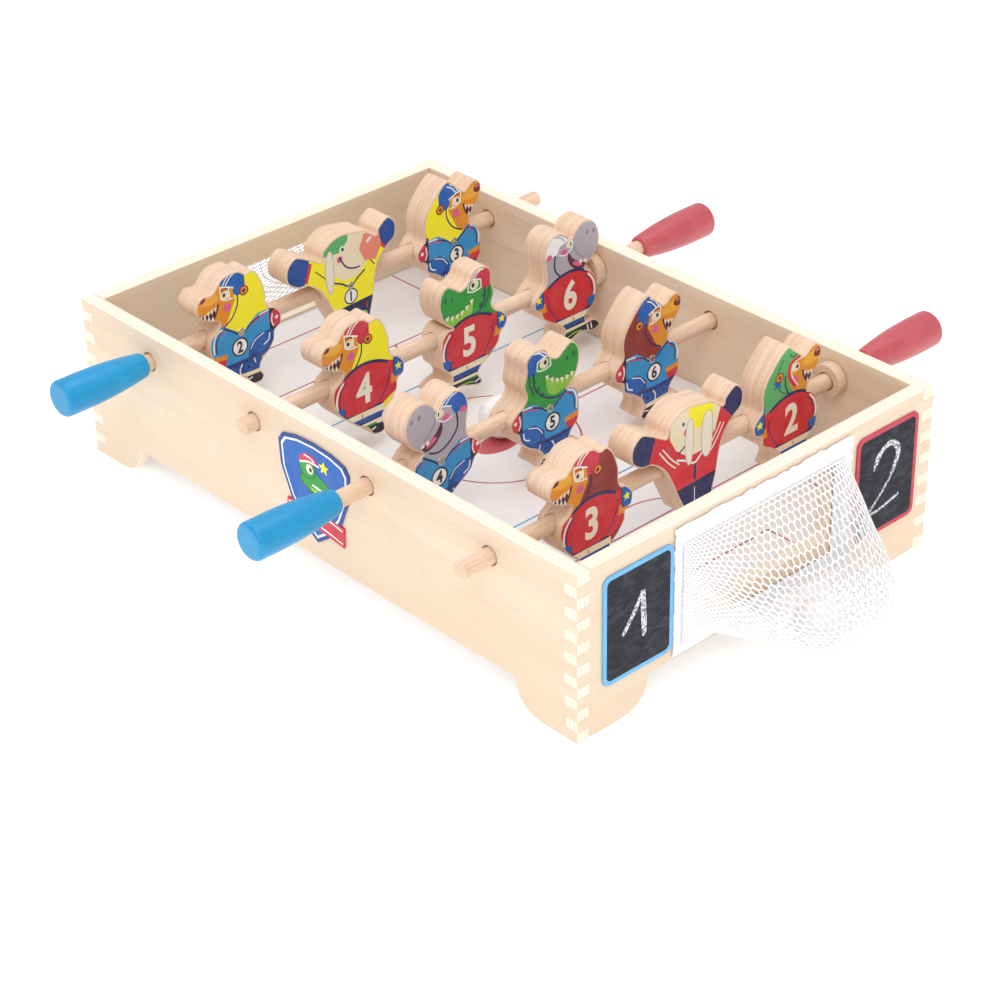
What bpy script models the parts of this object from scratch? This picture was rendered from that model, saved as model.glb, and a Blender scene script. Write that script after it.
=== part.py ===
"""Wooden table football set: a finger-jointed box on four feet, four sliding rods with twelve
cut-out players, two net pockets and two balls.

Frame: +X runs along the box to the end with the score boards, the blue team's handles point
to -Y and the red team's to +Y, +Z is up, and the origin is on the floor under the box's middle.
"""
import math

import bmesh
import bpy
from mathutils import Matrix, Vector

MM = 0.001
GAP = 0.3 * MM                     # air between two pieces that touch

# Box
BOX_LENGTH = 425 * MM              # along X, outside
BOX_WIDTH = 281 * MM               # along Y, outside
BOX_HEIGHT = 105 * MM
WALL = 9.5 * MM                    # plywood thickness
FINGERS = 15                       # finger-joint steps over the height, odd
FINGER_GAP = 0.2 * MM
FOOT_HEIGHT = 19 * MM              # free height under the walls, and the feet's rounding
SIDE_FOOT_FLAT = 28 * MM
END_FOOT_FLAT = 34 * MM
FOOT_ARC_STEPS = 6

# Playing field
PITCH_TOP = 39 * MM
PITCH_THICKNESS = 4 * MM
GROOVE_DEPTH = 3.5 * MM

# Goals
GOAL_WIDTH = 110 * MM
GOAL_HEIGHT = 47 * MM
GOAL_SILL = 1.8 * MM               # step from the field up to the goal's lower edge
GOAL_CORNER = 8 * MM

# Rods
ROD_DIAMETER = 10 * MM
ROD_ABOVE_PITCH = 48.5 * MM        # from the field up to a rod's axis
ROD_SPACING = 98 * MM
ROD_CHAMFER = 0.7 * MM
ROD_HOLE_CLEARANCE = 1.1 * MM      # radial, in the walls
ROD_OVERHANG = 26 * MM             # bare end beyond the far wall with the players centred
HANDLE_OVERHANG = 71.5 * MM        # handle's end beyond its wall with the players centred
RING_WALL = 4.9 * MM
RING_THICKNESS = 7 * MM
RING_CLEARANCE = 0.6 * MM          # radial, between ring and rod
RING_CHAMFER = 0.8 * MM
ROUND_STEPS = 20

# Handles
HANDLE_LENGTH = 60 * MM
HANDLE_GRIP_DIAMETER = 22.6 * MM
HANDLE_NECK_WALL = 2.1 * MM        # wood around the bore at the thin end
HANDLE_EDGE = 2.4 * MM
HANDLE_BORE_DEPTH = 35 * MM

# Players
PLAYER_THICKNESS = 18 * MM
PLAYER_BORE_CLEARANCE = 0.3 * MM
OUTLINE_STEPS = 2                  # points made between two outline points

# Screws that pin the players to the rods
SCREW_HEAD_DIAMETER = 5.2 * MM
SCREW_HEAD_HEIGHT = 1.5 * MM
SCREW_SHANK_DIAMETER = 2.2 * MM
SCREW_GRIP = 4 * MM                # depth in the rod
SCREW_SINK = 0.25 * MM             # head below the player's face
SCREW_STEPS = 8
RECESS_LENGTH = 3.2 * MM
RECESS_WIDTH = 0.7 * MM
RECESS_DEPTH = 0.8 * MM

# Nets
BINDING_SIDE = 14 * MM             # width of the binding beside the goal
BINDING_TOP = 13 * MM
BINDING_BOTTOM = 9 * MM
BINDING_MARGIN = 1 * MM            # wood left between the goal's edge and the binding
BINDING_DROP = 8 * MM              # how far below the field the binding's window ends
BINDING_THICKNESS = 1 * MM
NET_SLACK = 24 * MM                # pocket's depth beyond a ball's diameter
NET_FULL_AT = 0.23                 # where across the pocket it hangs fullest, from -1 to 1
NET_FLARE = 15 * MM                # how far its full side bellies past its seam
NET_THICKNESS = 1.2 * MM
NET_SEAM_INSET = 5 * MM            # seam inside the binding's outer edge, at the sides
NET_FLOOR_CLEARANCE = 7.5 * MM
NET_COLUMNS = 16

# Score boards and shield, thin printed sheets on the walls
SHEET = 0.8 * MM
BOARD_WIDTH = 52 * MM
BOARD_HEIGHT = 68 * MM
BOARD_CORNER = 5 * MM
BLUE_BOARD_FROM_BINDING = 0.6 * MM
RED_BOARD_FROM_BINDING = 5 * MM
BOARD_CENTRE_HEIGHT = 61 * MM
SHIELD_WIDTH = 61 * MM
SHIELD_HEIGHT = 65 * MM
SHIELD_X = 4.5 * MM
SHIELD_TIP_HEIGHT = 31 * MM

# Balls
BALL_DIAMETER = 26 * MM
BALL_Y = 4 * MM                    # on the halfway line
NET_BALL_Y = 10.5 * MM

# Player outlines, in millimetres from the rod's axis, seen from +X with +Y to the right.
BEAR = [
    (-6, 41), (1, 40.5), (6, 37), (11, 37.5), (16, 32), (19.5, 22), (20, 13), (22, 9),
    (26, 7.5), (30.5, 2), (30, -5), (25.5, -8), (24.5, -14), (20, -20), (14, -25), (12.5, -30),
    (15, -35), (12, -38.5), (5, -37.5), (1, -32), (-6, -28), (-12, -23), (-20, -15), (-24, -5),
    (-22.5, 3), (-17, 7), (-15.5, 12), (-23, 15), (-30, 20), (-31.5, 27), (-27, 32.5),
    (-20, 32), (-16.5, 35), (-12, 39.5)]
BEAR_KICKING = [
    (-4, 43), (0, 40), (6, 35), (10, 32), (16, 36), (21, 36), (24, 31), (22, 23), (16, 16),
    (13, 9), (18, 6), (22, 0), (23, -9), (22, -17), (17, -22), (15, -27), (22, -30), (24.5, -35),
    (19, -36.5), (10, -33), (2, -35), (-6, -38.5), (-9, -36), (-6, -30), (-9, -24), (-15, -19),
    (-23, -14), (-24, -8), (-29.5, -5), (-31, 1), (-27, 6), (-24, 9), (-24.5, 18), (-22, 26),
    (-16, 34), (-10, 40)]
CROC = [
    (-8, 41), (-3, 39), (0, 34), (6, 31), (11, 34), (17, 37), (22, 33), (23.5, 25), (20, 14),
    (13, 8), (17, 8), (22, 3), (23, -8), (22, -16), (17, -21), (15, -27), (23, -29.5),
    (26, -34), (20, -36.5), (10, -33), (2, -35), (-6, -37), (-9, -35), (-6, -29), (-10, -24),
    (-17, -20), (-23, -14), (-25, -8), (-29, -5), (-30.5, 1), (-26, 6), (-21, 9), (-18, 14),
    (-20, 21), (-18, 29), (-18, 36), (-14, 40)]
HIPPO = [
    (-10, 40.5), (-3, 38), (2, 33), (5, 37), (11, 41), (19, 40), (24.5, 33), (25, 23),
    (20, 15), (13, 10), (18, 6), (22.5, 0), (23, -10), (21.5, -17), (15, -22), (14, -27),
    (22, -29), (26, -34), (20, -36.5), (10, -34), (2, -36), (-4, -38), (-6, -34), (-4, -28),
    (-9, -23), (-15, -19), (-22, -14), (-25, -8), (-29, -5), (-29.5, 0), (-25, 5), (-20, 9),
    (-19.5, 18), (-21, 27), (-19, 35), (-15, 39)]
KEEPER = [
    (-5, 36.5), (4, 35), (13, 33), (22, 27), (24, 31), (32, 36), (38, 30), (37, 21), (30, 16),
    (23, 8), (20, -2), (18, -14), (15, -26), (16, -33), (13, -37), (4, -36), (-4, -34),
    (-8, -27), (-13, -17), (-18, -6), (-24, 4), (-33, 11), (-42, 13), (-49, 19), (-48.5, 28),
    (-42, 33.5), (-35, 31), (-28, 27), (-22, 24), (-20, 30), (-13, 35)]

# One entry per rod, from -X to +X: name, team, how far the rod is pushed to +Y from centred,
# how far its outer players' middles then are from the walls, and the players from -Y to +Y as
# (number, outline, mirrored).
RODS = [
    ("blue_keeper", "blue", 7 * MM, 45 * MM,
     [(2, BEAR, False), (1, KEEPER, False), (3, BEAR_KICKING, False)]),
    ("red_attack", "red", 17 * MM, 48 * MM,
     [(4, BEAR, False), (5, CROC, True), (6, HIPPO, False)]),
    ("blue_attack", "blue", -11 * MM, 48 * MM,
     [(4, HIPPO, True), (5, CROC, False), (6, BEAR_KICKING, False)]),
    ("red_keeper", "red", 5 * MM, 52 * MM,
     [(3, BEAR, False), (1, KEEPER, False), (2, BEAR_KICKING, False)]),
]

# What follows from the sizes above
SIDE_INNER = BOX_WIDTH / 2 - WALL          # inner face of a side wall
END_INNER = BOX_LENGTH / 2 - WALL
END_OUTER = BOX_LENGTH / 2
ROD_RADIUS = ROD_DIAMETER / 2
ROD_HEIGHT = PITCH_TOP + ROD_ABOVE_PITCH
GOAL_LOW = PITCH_TOP + GOAL_SILL
GOAL_HIGH = GOAL_LOW + GOAL_HEIGHT
WINDOW_HALF = GOAL_WIDTH / 2 + BINDING_MARGIN
WINDOW_LOW = PITCH_TOP - BINDING_DROP
WINDOW_HIGH = GOAL_HIGH + BINDING_MARGIN
NET_FACE = END_OUTER + GAP + BINDING_THICKNESS + GAP
NET_DEPTH = BALL_DIAMETER + NET_SLACK
BINDING_HALF = WINDOW_HALF + BINDING_SIDE


def clear_scene():
    for obj in list(bpy.data.objects):
        bpy.data.objects.remove(obj, do_unlink=True)


def make_material(name, colour, roughness, metallic=0.0):
    material = bpy.data.materials.new(name)
    material.use_nodes = True
    shader = material.node_tree.nodes["Principled BSDF"]
    shader.inputs["Base Color"].default_value = (*colour, 1.0)
    shader.inputs["Roughness"].default_value = roughness
    shader.inputs["Metallic"].default_value = metallic
    material.diffuse_color = (*colour, 1.0)
    return material


def make_mesh(name, bm):
    bmesh.ops.recalc_face_normals(bm, faces=bm.faces)
    mesh = bpy.data.meshes.new(name)
    bm.to_mesh(mesh)
    bm.free()
    return mesh


def place(name, mesh, material, location=(0, 0, 0)):
    obj = bpy.data.objects.new(name, mesh)
    obj.location = location
    if material and not mesh.materials:
        mesh.materials.append(material)
    bpy.context.scene.collection.objects.link(obj)
    return obj


def round_off(mesh, angle=40):
    mesh.shade_smooth()
    mesh.set_sharp_from_angle(angle=math.radians(angle))


def prism(outline, lift, depth):
    """Closed solid over a flat outline; lift turns an outline point and a depth to 3-D."""
    bm = bmesh.new()
    verts = [bm.verts.new(lift(u, v, 0)) for u, v in outline]
    face = bm.faces.new(verts)
    grown = bmesh.ops.extrude_face_region(bm, geom=[face])
    moved = [g for g in grown["geom"] if isinstance(g, bmesh.types.BMVert)]
    shift = Vector(lift(0, 0, depth)) - Vector(lift(0, 0, 0))
    bmesh.ops.translate(bm, verts=moved, vec=shift)
    return bm


def box(low, high):
    """Axis-aligned block between two corners."""
    bm = bmesh.new()
    bmesh.ops.create_cube(bm, size=1)
    size = [b - a for a, b in zip(low, high)]
    middle = [(a + b) / 2 for a, b in zip(low, high)]
    bmesh.ops.scale(bm, verts=bm.verts, vec=size)
    bmesh.ops.translate(bm, verts=bm.verts, vec=middle)
    return bm


def lathe(profile, steps, closed=False):
    """Solid turned about +Y from (radius, y) points; an open profile ends on the axis."""
    bm = bmesh.new()
    verts = [bm.verts.new((r, y, 0)) for r, y in profile]
    edges = [bm.edges.new(pair) for pair in zip(verts, verts[1:])]
    if closed:
        edges.append(bm.edges.new((verts[-1], verts[0])))
    bmesh.ops.spin(bm, geom=verts + edges, cent=(0, 0, 0), axis=(0, 1, 0),
                   angle=math.tau, steps=steps, use_merge=True)
    bmesh.ops.remove_doubles(bm, verts=bm.verts, dist=0.002 * MM)
    return bm


def rounded_rectangle(half_u, half_v, corner, middle=(0, 0), steps=4):
    points = []
    for quarter, (su, sv) in enumerate(((1, 1), (-1, 1), (-1, -1), (1, -1))):
        cu = middle[0] + su * (half_u - corner)
        cv = middle[1] + sv * (half_v - corner)
        for i in range(steps + 1):
            angle = math.pi / 2 * (quarter + i / steps)
            points.append((cu + corner * math.cos(angle), cv + corner * math.sin(angle)))
    return points


def smooth_loop(points, steps):
    """Closed Catmull-Rom curve through the points."""
    count = len(points)
    curve = []
    for i in range(count):
        p0, p1, p2, p3 = (Vector(points[(i + k) % count]) for k in (-1, 0, 1, 2))
        for step in range(steps):
            t = step / steps
            curve.append(0.5 * (2 * p1 + (p2 - p0) * t
                                + (2 * p0 - 5 * p1 + 4 * p2 - p3) * t ** 2
                                + (3 * p1 - p0 - 3 * p2 + p3) * t ** 3))
    return curve


def cutter(name, mesh, location=(0, 0, 0)):
    obj = place(name, mesh, None, location)
    obj.hide_render = True
    obj.display_type = "WIRE"
    return obj


def cut(obj, tool):
    modifier = obj.modifiers.new(tool.name, "BOOLEAN")
    modifier.operation = "DIFFERENCE"
    modifier.solver = "EXACT"
    modifier.object = tool


def wall_outline(half, recess, foot_flat, owns_first):
    """Front view of a wall: finger-jointed ends, feet at the corners, arch between them."""
    pitch = BOX_HEIGHT / FINGERS
    rise = []
    for i in range(FINGERS):
        own = (i % 2 == 0) == owns_first
        reach = half if own else recess
        ease = FINGER_GAP / 2 if own else -FINGER_GAP / 2
        low = 0 if i == 0 else i * pitch + ease
        high = BOX_HEIGHT if i == FINGERS - 1 else (i + 1) * pitch - ease
        rise += [(reach, low), (reach, high)]
    arch = []
    for i in range(FOOT_ARC_STEPS + 1):
        angle = math.pi / 2 * i / FOOT_ARC_STEPS
        arch.append((half - foot_flat - FOOT_HEIGHT * math.sin(angle),
                     FOOT_HEIGHT * (1 - math.cos(angle))))
    mirrored = [(-u, v) for u, v in reversed(rise)]
    return rise + mirrored + [(-u, v) for u, v in arch] + arch[::-1]


def groove_cutter(name, low, high):
    return cutter(name, make_mesh(name, box(low, high)))


def build_walls(birch):
    groove_low = PITCH_TOP - PITCH_THICKNESS - GAP
    groove_high = PITCH_TOP + GAP
    side = wall_outline(BOX_LENGTH / 2, BOX_LENGTH / 2 - WALL - FINGER_GAP, SIDE_FOOT_FLAT, True)
    end = wall_outline(BOX_WIDTH / 2, BOX_WIDTH / 2 - WALL - FINGER_GAP, END_FOOT_FLAT, False)
    hole_radius = ROD_RADIUS + ROD_HOLE_CLEARANCE
    holes = []
    for name, _, _, _, _ in RODS:
        x = rod_x(name)
        profile = [(0, -BOX_WIDTH), (hole_radius, -BOX_WIDTH),
                   (hole_radius, BOX_WIDTH), (0, BOX_WIDTH)]
        mesh = make_mesh("hole", lathe(profile, ROUND_STEPS))
        holes.append(cutter(name + "_hole_cutter", mesh, (x, 0, ROD_HEIGHT)))
    for name, sign in (("side_panel_blue", -1), ("side_panel_red", 1)):
        bm = prism(side, lambda u, v, d: (u, sign * (BOX_WIDTH / 2 - d), v), WALL)
        panel = place(name, make_mesh(name, bm), birch)
        reach = sorted((sign * (SIDE_INNER + GROOVE_DEPTH), sign * (SIDE_INNER - GROOVE_DEPTH)))
        tool = groove_cutter(name + "_groove_cutter", (-END_INNER, reach[0], groove_low),
                             (END_INNER, reach[1], groove_high))
        cut(panel, tool)
        for hole in holes:
            cut(panel, hole)
    for name, sign in (("end_panel_score", 1), ("end_panel_plain", -1)):
        bm = prism(end, lambda u, v, d: (sign * (END_OUTER - d), u, v), WALL)
        panel = place(name, make_mesh(name, bm), birch)
        reach = sorted((sign * (END_INNER + GROOVE_DEPTH), sign * (END_INNER - GROOVE_DEPTH)))
        tool = groove_cutter(name + "_groove_cutter", (reach[0], -SIDE_INNER, groove_low),
                             (reach[1], SIDE_INNER, groove_high))
        cut(panel, tool)
        goal = rounded_rectangle(GOAL_WIDTH / 2, GOAL_HEIGHT / 2, GOAL_CORNER,
                                 (0, (GOAL_LOW + GOAL_HIGH) / 2))
        through = prism(goal, lambda u, v, d: (sign * (END_OUTER + WALL - d), u, v), 3 * WALL)
        cut(panel, cutter(name + "_goal_cutter", make_mesh("goal", through)))


def build_pitch(white_board):
    """Board held in the walls' grooves, with its corners notched around the finger joints."""
    long_half = END_INNER + GROOVE_DEPTH - GAP
    wide_half = SIDE_INNER + GROOVE_DEPTH - GAP
    long_clear = END_INNER - GAP
    wide_clear = SIDE_INNER - GAP
    quarter = [(long_half, wide_clear), (long_clear, wide_clear), (long_clear, wide_half)]
    outline = quarter + [(-x, y) for x, y in reversed(quarter)]
    outline += [(-x, -y) for x, y in quarter] + [(x, -y) for x, y in reversed(quarter)]
    bottom = PITCH_TOP - PITCH_THICKNESS
    bm = prism(outline, lambda u, v, d: (u, v, bottom + d), PITCH_THICKNESS)
    place("pitch_board", make_mesh("pitch_board", bm), white_board)


def rod_x(name):
    index = [rod[0] for rod in RODS].index(name)
    return (index - (len(RODS) - 1) / 2) * ROD_SPACING


def screw_profile(ease, rise):
    """Countersunk screw from its tip in the rod to its head, about +Y pointing outwards.

    Its hole has the same form, larger by ease, and rises past the head to clear the face.
    """
    face = PLAYER_THICKNESS / 2 - SCREW_SINK
    tip = ROD_RADIUS - SCREW_GRIP - ease
    neck = face - SCREW_HEAD_HEIGHT - ease
    head = SCREW_HEAD_DIAMETER / 2 + ease
    shank = SCREW_SHANK_DIAMETER / 2 + ease
    rim = face - 0.3 * SCREW_HEAD_HEIGHT - ease
    top = face + rise
    return [(0, tip), (shank, tip), (shank, neck), (head, rim), (head, top), (0, top)]


def screw_mesh(steel):
    blank_mesh = make_mesh("screw", lathe(screw_profile(0, 0), SCREW_STEPS))
    blank = place("screw_blank", blank_mesh, steel)
    face = PLAYER_THICKNESS / 2 - SCREW_SINK
    arms = []
    for width, length in ((RECESS_WIDTH, RECESS_LENGTH), (RECESS_LENGTH, RECESS_WIDTH)):
        bm = box((-width / 2, face - RECESS_DEPTH, -length / 2), (width / 2, face + MM, length / 2))
        arms.append(cutter("recess_cutter", make_mesh("recess", bm)))
        cut(blank, arms[-1])
    graph = bpy.context.evaluated_depsgraph_get()
    mesh = bpy.data.meshes.new_from_object(blank.evaluated_get(graph))
    for obj in [blank] + arms:
        bpy.data.objects.remove(obj, do_unlink=True)
    round_off(mesh, 30)
    return mesh


def build_rod(rod, materials, screw):
    name, team, shift, margin, players = rod
    spacing = SIDE_INNER - margin
    x = rod_x(name)
    side = -1 if team == "blue" else 1             # the way the handle points
    handle_end = side * (BOX_WIDTH / 2 + HANDLE_OVERHANG) + shift
    bare_end = -side * (BOX_WIDTH / 2 + ROD_OVERHANG) + shift
    seat = handle_end - side * (HANDLE_LENGTH - HANDLE_BORE_DEPTH + GAP)
    length = abs(seat - bare_end)
    low = min(seat, bare_end)
    profile = [(0, 0), (ROD_RADIUS - ROD_CHAMFER, 0), (ROD_RADIUS, ROD_CHAMFER),
               (ROD_RADIUS, length - ROD_CHAMFER), (ROD_RADIUS - ROD_CHAMFER, length), (0, length)]
    dowel_mesh = make_mesh(name + "_rod", lathe(profile, ROUND_STEPS))
    round_off(dowel_mesh)
    dowel = place(name + "_rod", dowel_mesh, materials["beech"], (x, low, ROD_HEIGHT))
    build_handle(name, side, (x, handle_end, ROD_HEIGHT), materials[team])
    build_ring(name, side, x, materials["beech"])
    bore_radius = ROD_RADIUS + PLAYER_BORE_CLEARANCE
    reach = BOX_WIDTH
    bore = lathe([(0, -reach), (bore_radius, -reach), (bore_radius, reach), (0, reach)], ROUND_STEPS)
    bore_tool = cutter(name + "_bore_cutter", make_mesh("bore", bore), (x, 0, ROD_HEIGHT))
    face = 1 if team == "blue" else -1             # the way the players look
    for place_in_row, (number, outline, mirrored) in enumerate(players):
        y = shift + (place_in_row - 1) * spacing
        label = f"{team}_player_{number}"
        flip = -1 if mirrored else 1
        curve = smooth_loop([(flip * u * MM, v * MM) for u, v in outline], OUTLINE_STEPS)
        bm = prism(curve, lambda u, v, d: (d - PLAYER_THICKNESS / 2, u, v), PLAYER_THICKNESS)
        mesh = make_mesh(label, bm)
        round_off(mesh, 35)
        player = place(label, mesh, materials["beech"], (x, y, ROD_HEIGHT))
        hole = lathe(screw_profile(GAP, SCREW_SINK + MM), SCREW_STEPS)
        hole_tool = cutter(label + "_screw_cutter", make_mesh("screw_hole", hole), (x, y, ROD_HEIGHT))
        pin = place(f"{team}_screw_{number}", screw, None, (x, y, ROD_HEIGHT))
        for piece in (hole_tool, pin):
            piece.rotation_euler = (0, 0, -face * math.pi / 2)
        cut(player, bore_tool)
        cut(player, hole_tool)
        cut(dowel, hole_tool)


def build_handle(name, side, end, material):
    """Turned grip: flat outer end with a rounded rim, tapering to a thin neck at the wall."""
    grip = HANDLE_GRIP_DIAMETER / 2
    bore = ROD_RADIUS + GAP
    neck = bore + HANDLE_NECK_WALL
    profile = [(0, 0)]
    for i in range(5):
        angle = math.pi / 2 * i / 4
        profile.append((grip - HANDLE_EDGE * (1 - math.sin(angle)),
                        HANDLE_EDGE * (1 - math.cos(angle))))
    straight = 0.14 * HANDLE_LENGTH
    for i in range(1, 7):
        t = i / 6
        y = straight + (HANDLE_LENGTH - HANDLE_EDGE / 2 - straight) * t
        profile.append((neck + (grip - neck) * math.cos(math.pi / 2 * t ** 1.15) ** 1.1, y))
    profile[-1] = (neck, profile[-1][1])
    profile += [(neck - HANDLE_EDGE / 2, HANDLE_LENGTH), (bore, HANDLE_LENGTH),
                (bore, HANDLE_LENGTH - HANDLE_BORE_DEPTH), (0, HANDLE_LENGTH - HANDLE_BORE_DEPTH)]
    bm = lathe(profile, ROUND_STEPS)
    if side > 0:
        bmesh.ops.rotate(bm, verts=bm.verts, matrix=Matrix.Rotation(math.pi, 3, "Z"))
    mesh = make_mesh(name + "_handle", bm)
    round_off(mesh)
    place(name + "_handle", mesh, material, end)


def build_ring(name, side, x, material):
    """Loose wooden ring on the rod, against the inside of the wall on the handle's side."""
    inner = ROD_RADIUS + RING_CLEARANCE
    outer = inner + RING_WALL
    profile = [(inner, 0), (outer - RING_CHAMFER, 0), (outer, RING_CHAMFER),
               (outer, RING_THICKNESS - RING_CHAMFER), (outer - RING_CHAMFER, RING_THICKNESS),
               (inner, RING_THICKNESS)]
    mesh = make_mesh(name + "_ring", lathe(profile, ROUND_STEPS, closed=True))
    round_off(mesh)
    y = side * (SIDE_INNER - GAP) - (RING_THICKNESS if side > 0 else 0)
    place(name + "_ring", mesh, material, (x, y, ROD_HEIGHT))


def frame_prism(outer, inner, lift, depth):
    """Flat frame between two outlines that have the same number of points."""
    bm = bmesh.new()
    rings = [[bm.verts.new(lift(u, v, d)) for u, v in loop]
             for d in (0, depth) for loop in (outer, inner)]
    count = len(outer)
    for a, b in ((0, 1), (3, 2), (2, 0), (1, 3)):
        for i in range(count):
            j = (i + 1) % count
            bm.faces.new((rings[a][i], rings[a][j], rings[b][j], rings[b][i]))
    return bm


def build_binding(name, sign, material):
    """Textile band around the goal, on the wall's outer face."""
    half = BINDING_HALF
    low, high = WINDOW_LOW - BINDING_BOTTOM, WINDOW_HIGH + BINDING_TOP
    outer = rounded_rectangle(half, (high - low) / 2, 2 * MM, (0, (high + low) / 2), 2)
    inner = rounded_rectangle(WINDOW_HALF, (WINDOW_HIGH - WINDOW_LOW) / 2, 2 * MM,
                              (0, (WINDOW_HIGH + WINDOW_LOW) / 2), 2)
    start = END_OUTER + GAP
    bm = frame_prism(outer, inner, lambda u, v, d: (sign * (start + d), u, v), BINDING_THICKNESS)
    place(name, make_mesh(name, bm), material)


def net_profile():
    """Middle section of a net pocket from its upper seam to its lower seam: (depth, height)."""
    top = WINDOW_HIGH + 2 * MM
    floor = NET_FLOOR_CLEARANCE
    drop = top - floor
    deep = NET_DEPTH
    seam = WINDOW_LOW - 4 * MM
    bulge = BALL_DIAMETER
    return [(0, top), (0.2 * deep, top - 0.14 * drop), (0.48 * deep, top - 0.37 * drop),
            (0.75 * deep, floor + 1.28 * bulge), (0.94 * deep, floor + 0.7 * bulge),
            (deep, floor + 0.385 * bulge), (0.93 * deep, floor + 0.13 * bulge), (0.77 * deep, floor),
            (0.55 * deep, floor), (0.36 * deep, floor + 0.1 * (seam - floor)),
            (0.16 * deep, floor + 0.5 * (seam - floor)), (0, seam)]


def net_fullness(u):
    """Share of the pocket's full depth at u, from -1 to 1 across it."""
    if u < NET_FULL_AT:
        return math.sin(math.pi / 2 * (1 + u) / (1 + NET_FULL_AT)) ** 1.25
    return (1 - ((u - NET_FULL_AT) / (1 - NET_FULL_AT)) ** 4) ** 0.5


def build_net(name, sign, material):
    """Pocket of netting: open towards the goal, closed at its sides, with its own wall."""
    profile = net_profile()
    rows = len(profile)
    half = BINDING_HALF - NET_SEAM_INSET
    top, seam = profile[0][1], profile[-1][1]
    bm = bmesh.new()
    grid = []
    for column in range(NET_COLUMNS + 1):
        u = -math.cos(math.pi * column / NET_COLUMNS)
        fullness = net_fullness(u)
        belly = NET_FLARE * fullness * max(0, (u - NET_FULL_AT) / (1 - NET_FULL_AT))
        line = []
        for row, (depth, height) in enumerate(profile):
            edge = top + (seam - top) * row / (rows - 1)
            z = edge + fullness * (height - edge)
            line.append(bm.verts.new((sign * (NET_FACE + NET_THICKNESS + fullness * depth),
                                      sign * (half * u + belly * depth / NET_DEPTH), z)))
        grid.append(line)
    for left, right in zip(grid, grid[1:]):
        for i in range(rows - 1):
            bm.faces.new((left[i], right[i], right[i + 1], left[i + 1]))
    bmesh.ops.remove_doubles(bm, verts=bm.verts, dist=0.01 * MM)
    mesh = make_mesh(name, bm)
    for polygon in mesh.polygons:
        polygon.use_smooth = True
    obj = place(name, mesh, material)
    solid = obj.modifiers.new("thickness", "SOLIDIFY")
    solid.thickness = NET_THICKNESS
    solid.offset = -1
    solid.use_rim = True


def build_sheets(materials):
    """Score boards on the +X wall, and the shield on the blue side's wall."""
    for name, sign, away in (("score_board_blue", -1, BLUE_BOARD_FROM_BINDING),
                             ("score_board_red", 1, RED_BOARD_FROM_BINDING)):
        middle = sign * (BINDING_HALF + away + BOARD_WIDTH / 2)
        outline = rounded_rectangle(BOARD_WIDTH / 2, BOARD_HEIGHT / 2, BOARD_CORNER,
                                    (middle, BOARD_CENTRE_HEIGHT))
        bm = prism(outline, lambda u, v, d: (END_OUTER + GAP + d, u, v), SHEET)
        place(name, make_mesh(name, bm), materials["slate"])
    half = SHIELD_WIDTH / 2
    tip = SHIELD_TIP_HEIGHT
    top = tip + SHIELD_HEIGHT
    right = [(0, top), (0.5 * half, top - 1 * MM), (0.88 * half, top - 4 * MM), (half, top - 9 * MM),
             (0.97 * half, top - 0.38 * SHIELD_HEIGHT), (0.72 * half, top - 0.66 * SHIELD_HEIGHT),
             (0.36 * half, top - 0.88 * SHIELD_HEIGHT), (0, tip)]
    outline = right + [(-u, v) for u, v in reversed(right[1:-1])]
    wall = -BOX_WIDTH / 2 - GAP
    bm = prism(outline, lambda u, v, d: (SHIELD_X + u, wall - d, v), SHEET)
    place("shield_badge", make_mesh("shield_badge", bm), materials["badge"])


def build_balls(material):
    net_x = NET_FACE + NET_THICKNESS + 0.68 * NET_SLACK + BALL_DIAMETER / 2
    net_z = NET_FLOOR_CLEARANCE + NET_THICKNESS + 2 * GAP + BALL_DIAMETER / 2
    spots = (("ball_in_play", (0, BALL_Y, PITCH_TOP + GAP + BALL_DIAMETER / 2)),
             ("ball_in_net", (net_x, NET_BALL_Y, net_z)))
    for name, spot in spots:
        bm = bmesh.new()
        bmesh.ops.create_uvsphere(bm, u_segments=16, v_segments=10, radius=BALL_DIAMETER / 2)
        mesh = make_mesh(name, bm)
        mesh.shade_smooth()
        place(name, mesh, material, spot)


def build():
    clear_scene()
    materials = {
        "birch": make_material("birch_plywood", (0.82, 0.66, 0.46), 0.6),
        "beech": make_material("beech", (0.72, 0.50, 0.33), 0.6),
        "pitch": make_material("laminated_board", (0.88, 0.87, 0.87), 0.35),
        "blue": make_material("blue_lacquer", (0.03, 0.35, 0.72), 0.35),
        "red": make_material("red_lacquer", (0.63, 0.13, 0.15), 0.35),
        "steel": make_material("zinc_plated_steel", (0.62, 0.60, 0.56), 0.35, 1.0),
        "net": make_material("white_netting", (0.9, 0.9, 0.9), 0.9),
        "binding": make_material("white_binding", (0.9, 0.9, 0.92), 0.9),
        "slate": make_material("blackboard", (0.06, 0.06, 0.08), 0.8),
        "badge": make_material("printed_badge", (0.05, 0.15, 0.5), 0.4),
        "ball": make_material("white_plastic", (0.92, 0.92, 0.92), 0.5),
    }
    build_walls(materials["birch"])
    build_pitch(materials["pitch"])
    screw = screw_mesh(materials["steel"])
    for rod in RODS:
        build_rod(rod, materials, screw)
    for end, sign in (("score", 1), ("plain", -1)):
        build_binding("net_binding_" + end, sign, materials["binding"])
        build_net("net_" + end, sign, materials["net"])
    build_sheets(materials)
    build_balls(materials["ball"])


build()
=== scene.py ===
"""Looks of the small wooden table football set: box, rods, printed players, nets and balls.

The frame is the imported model's: +X to the end with the score boards, -Y to the blue handles,
+Z up, metres, with the origin on the floor under the middle of the box.
"""
import math

import bmesh
import bpy
from mathutils import Matrix, Vector, noise
from mathutils.geometry import delaunay_2d_cdt


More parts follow.
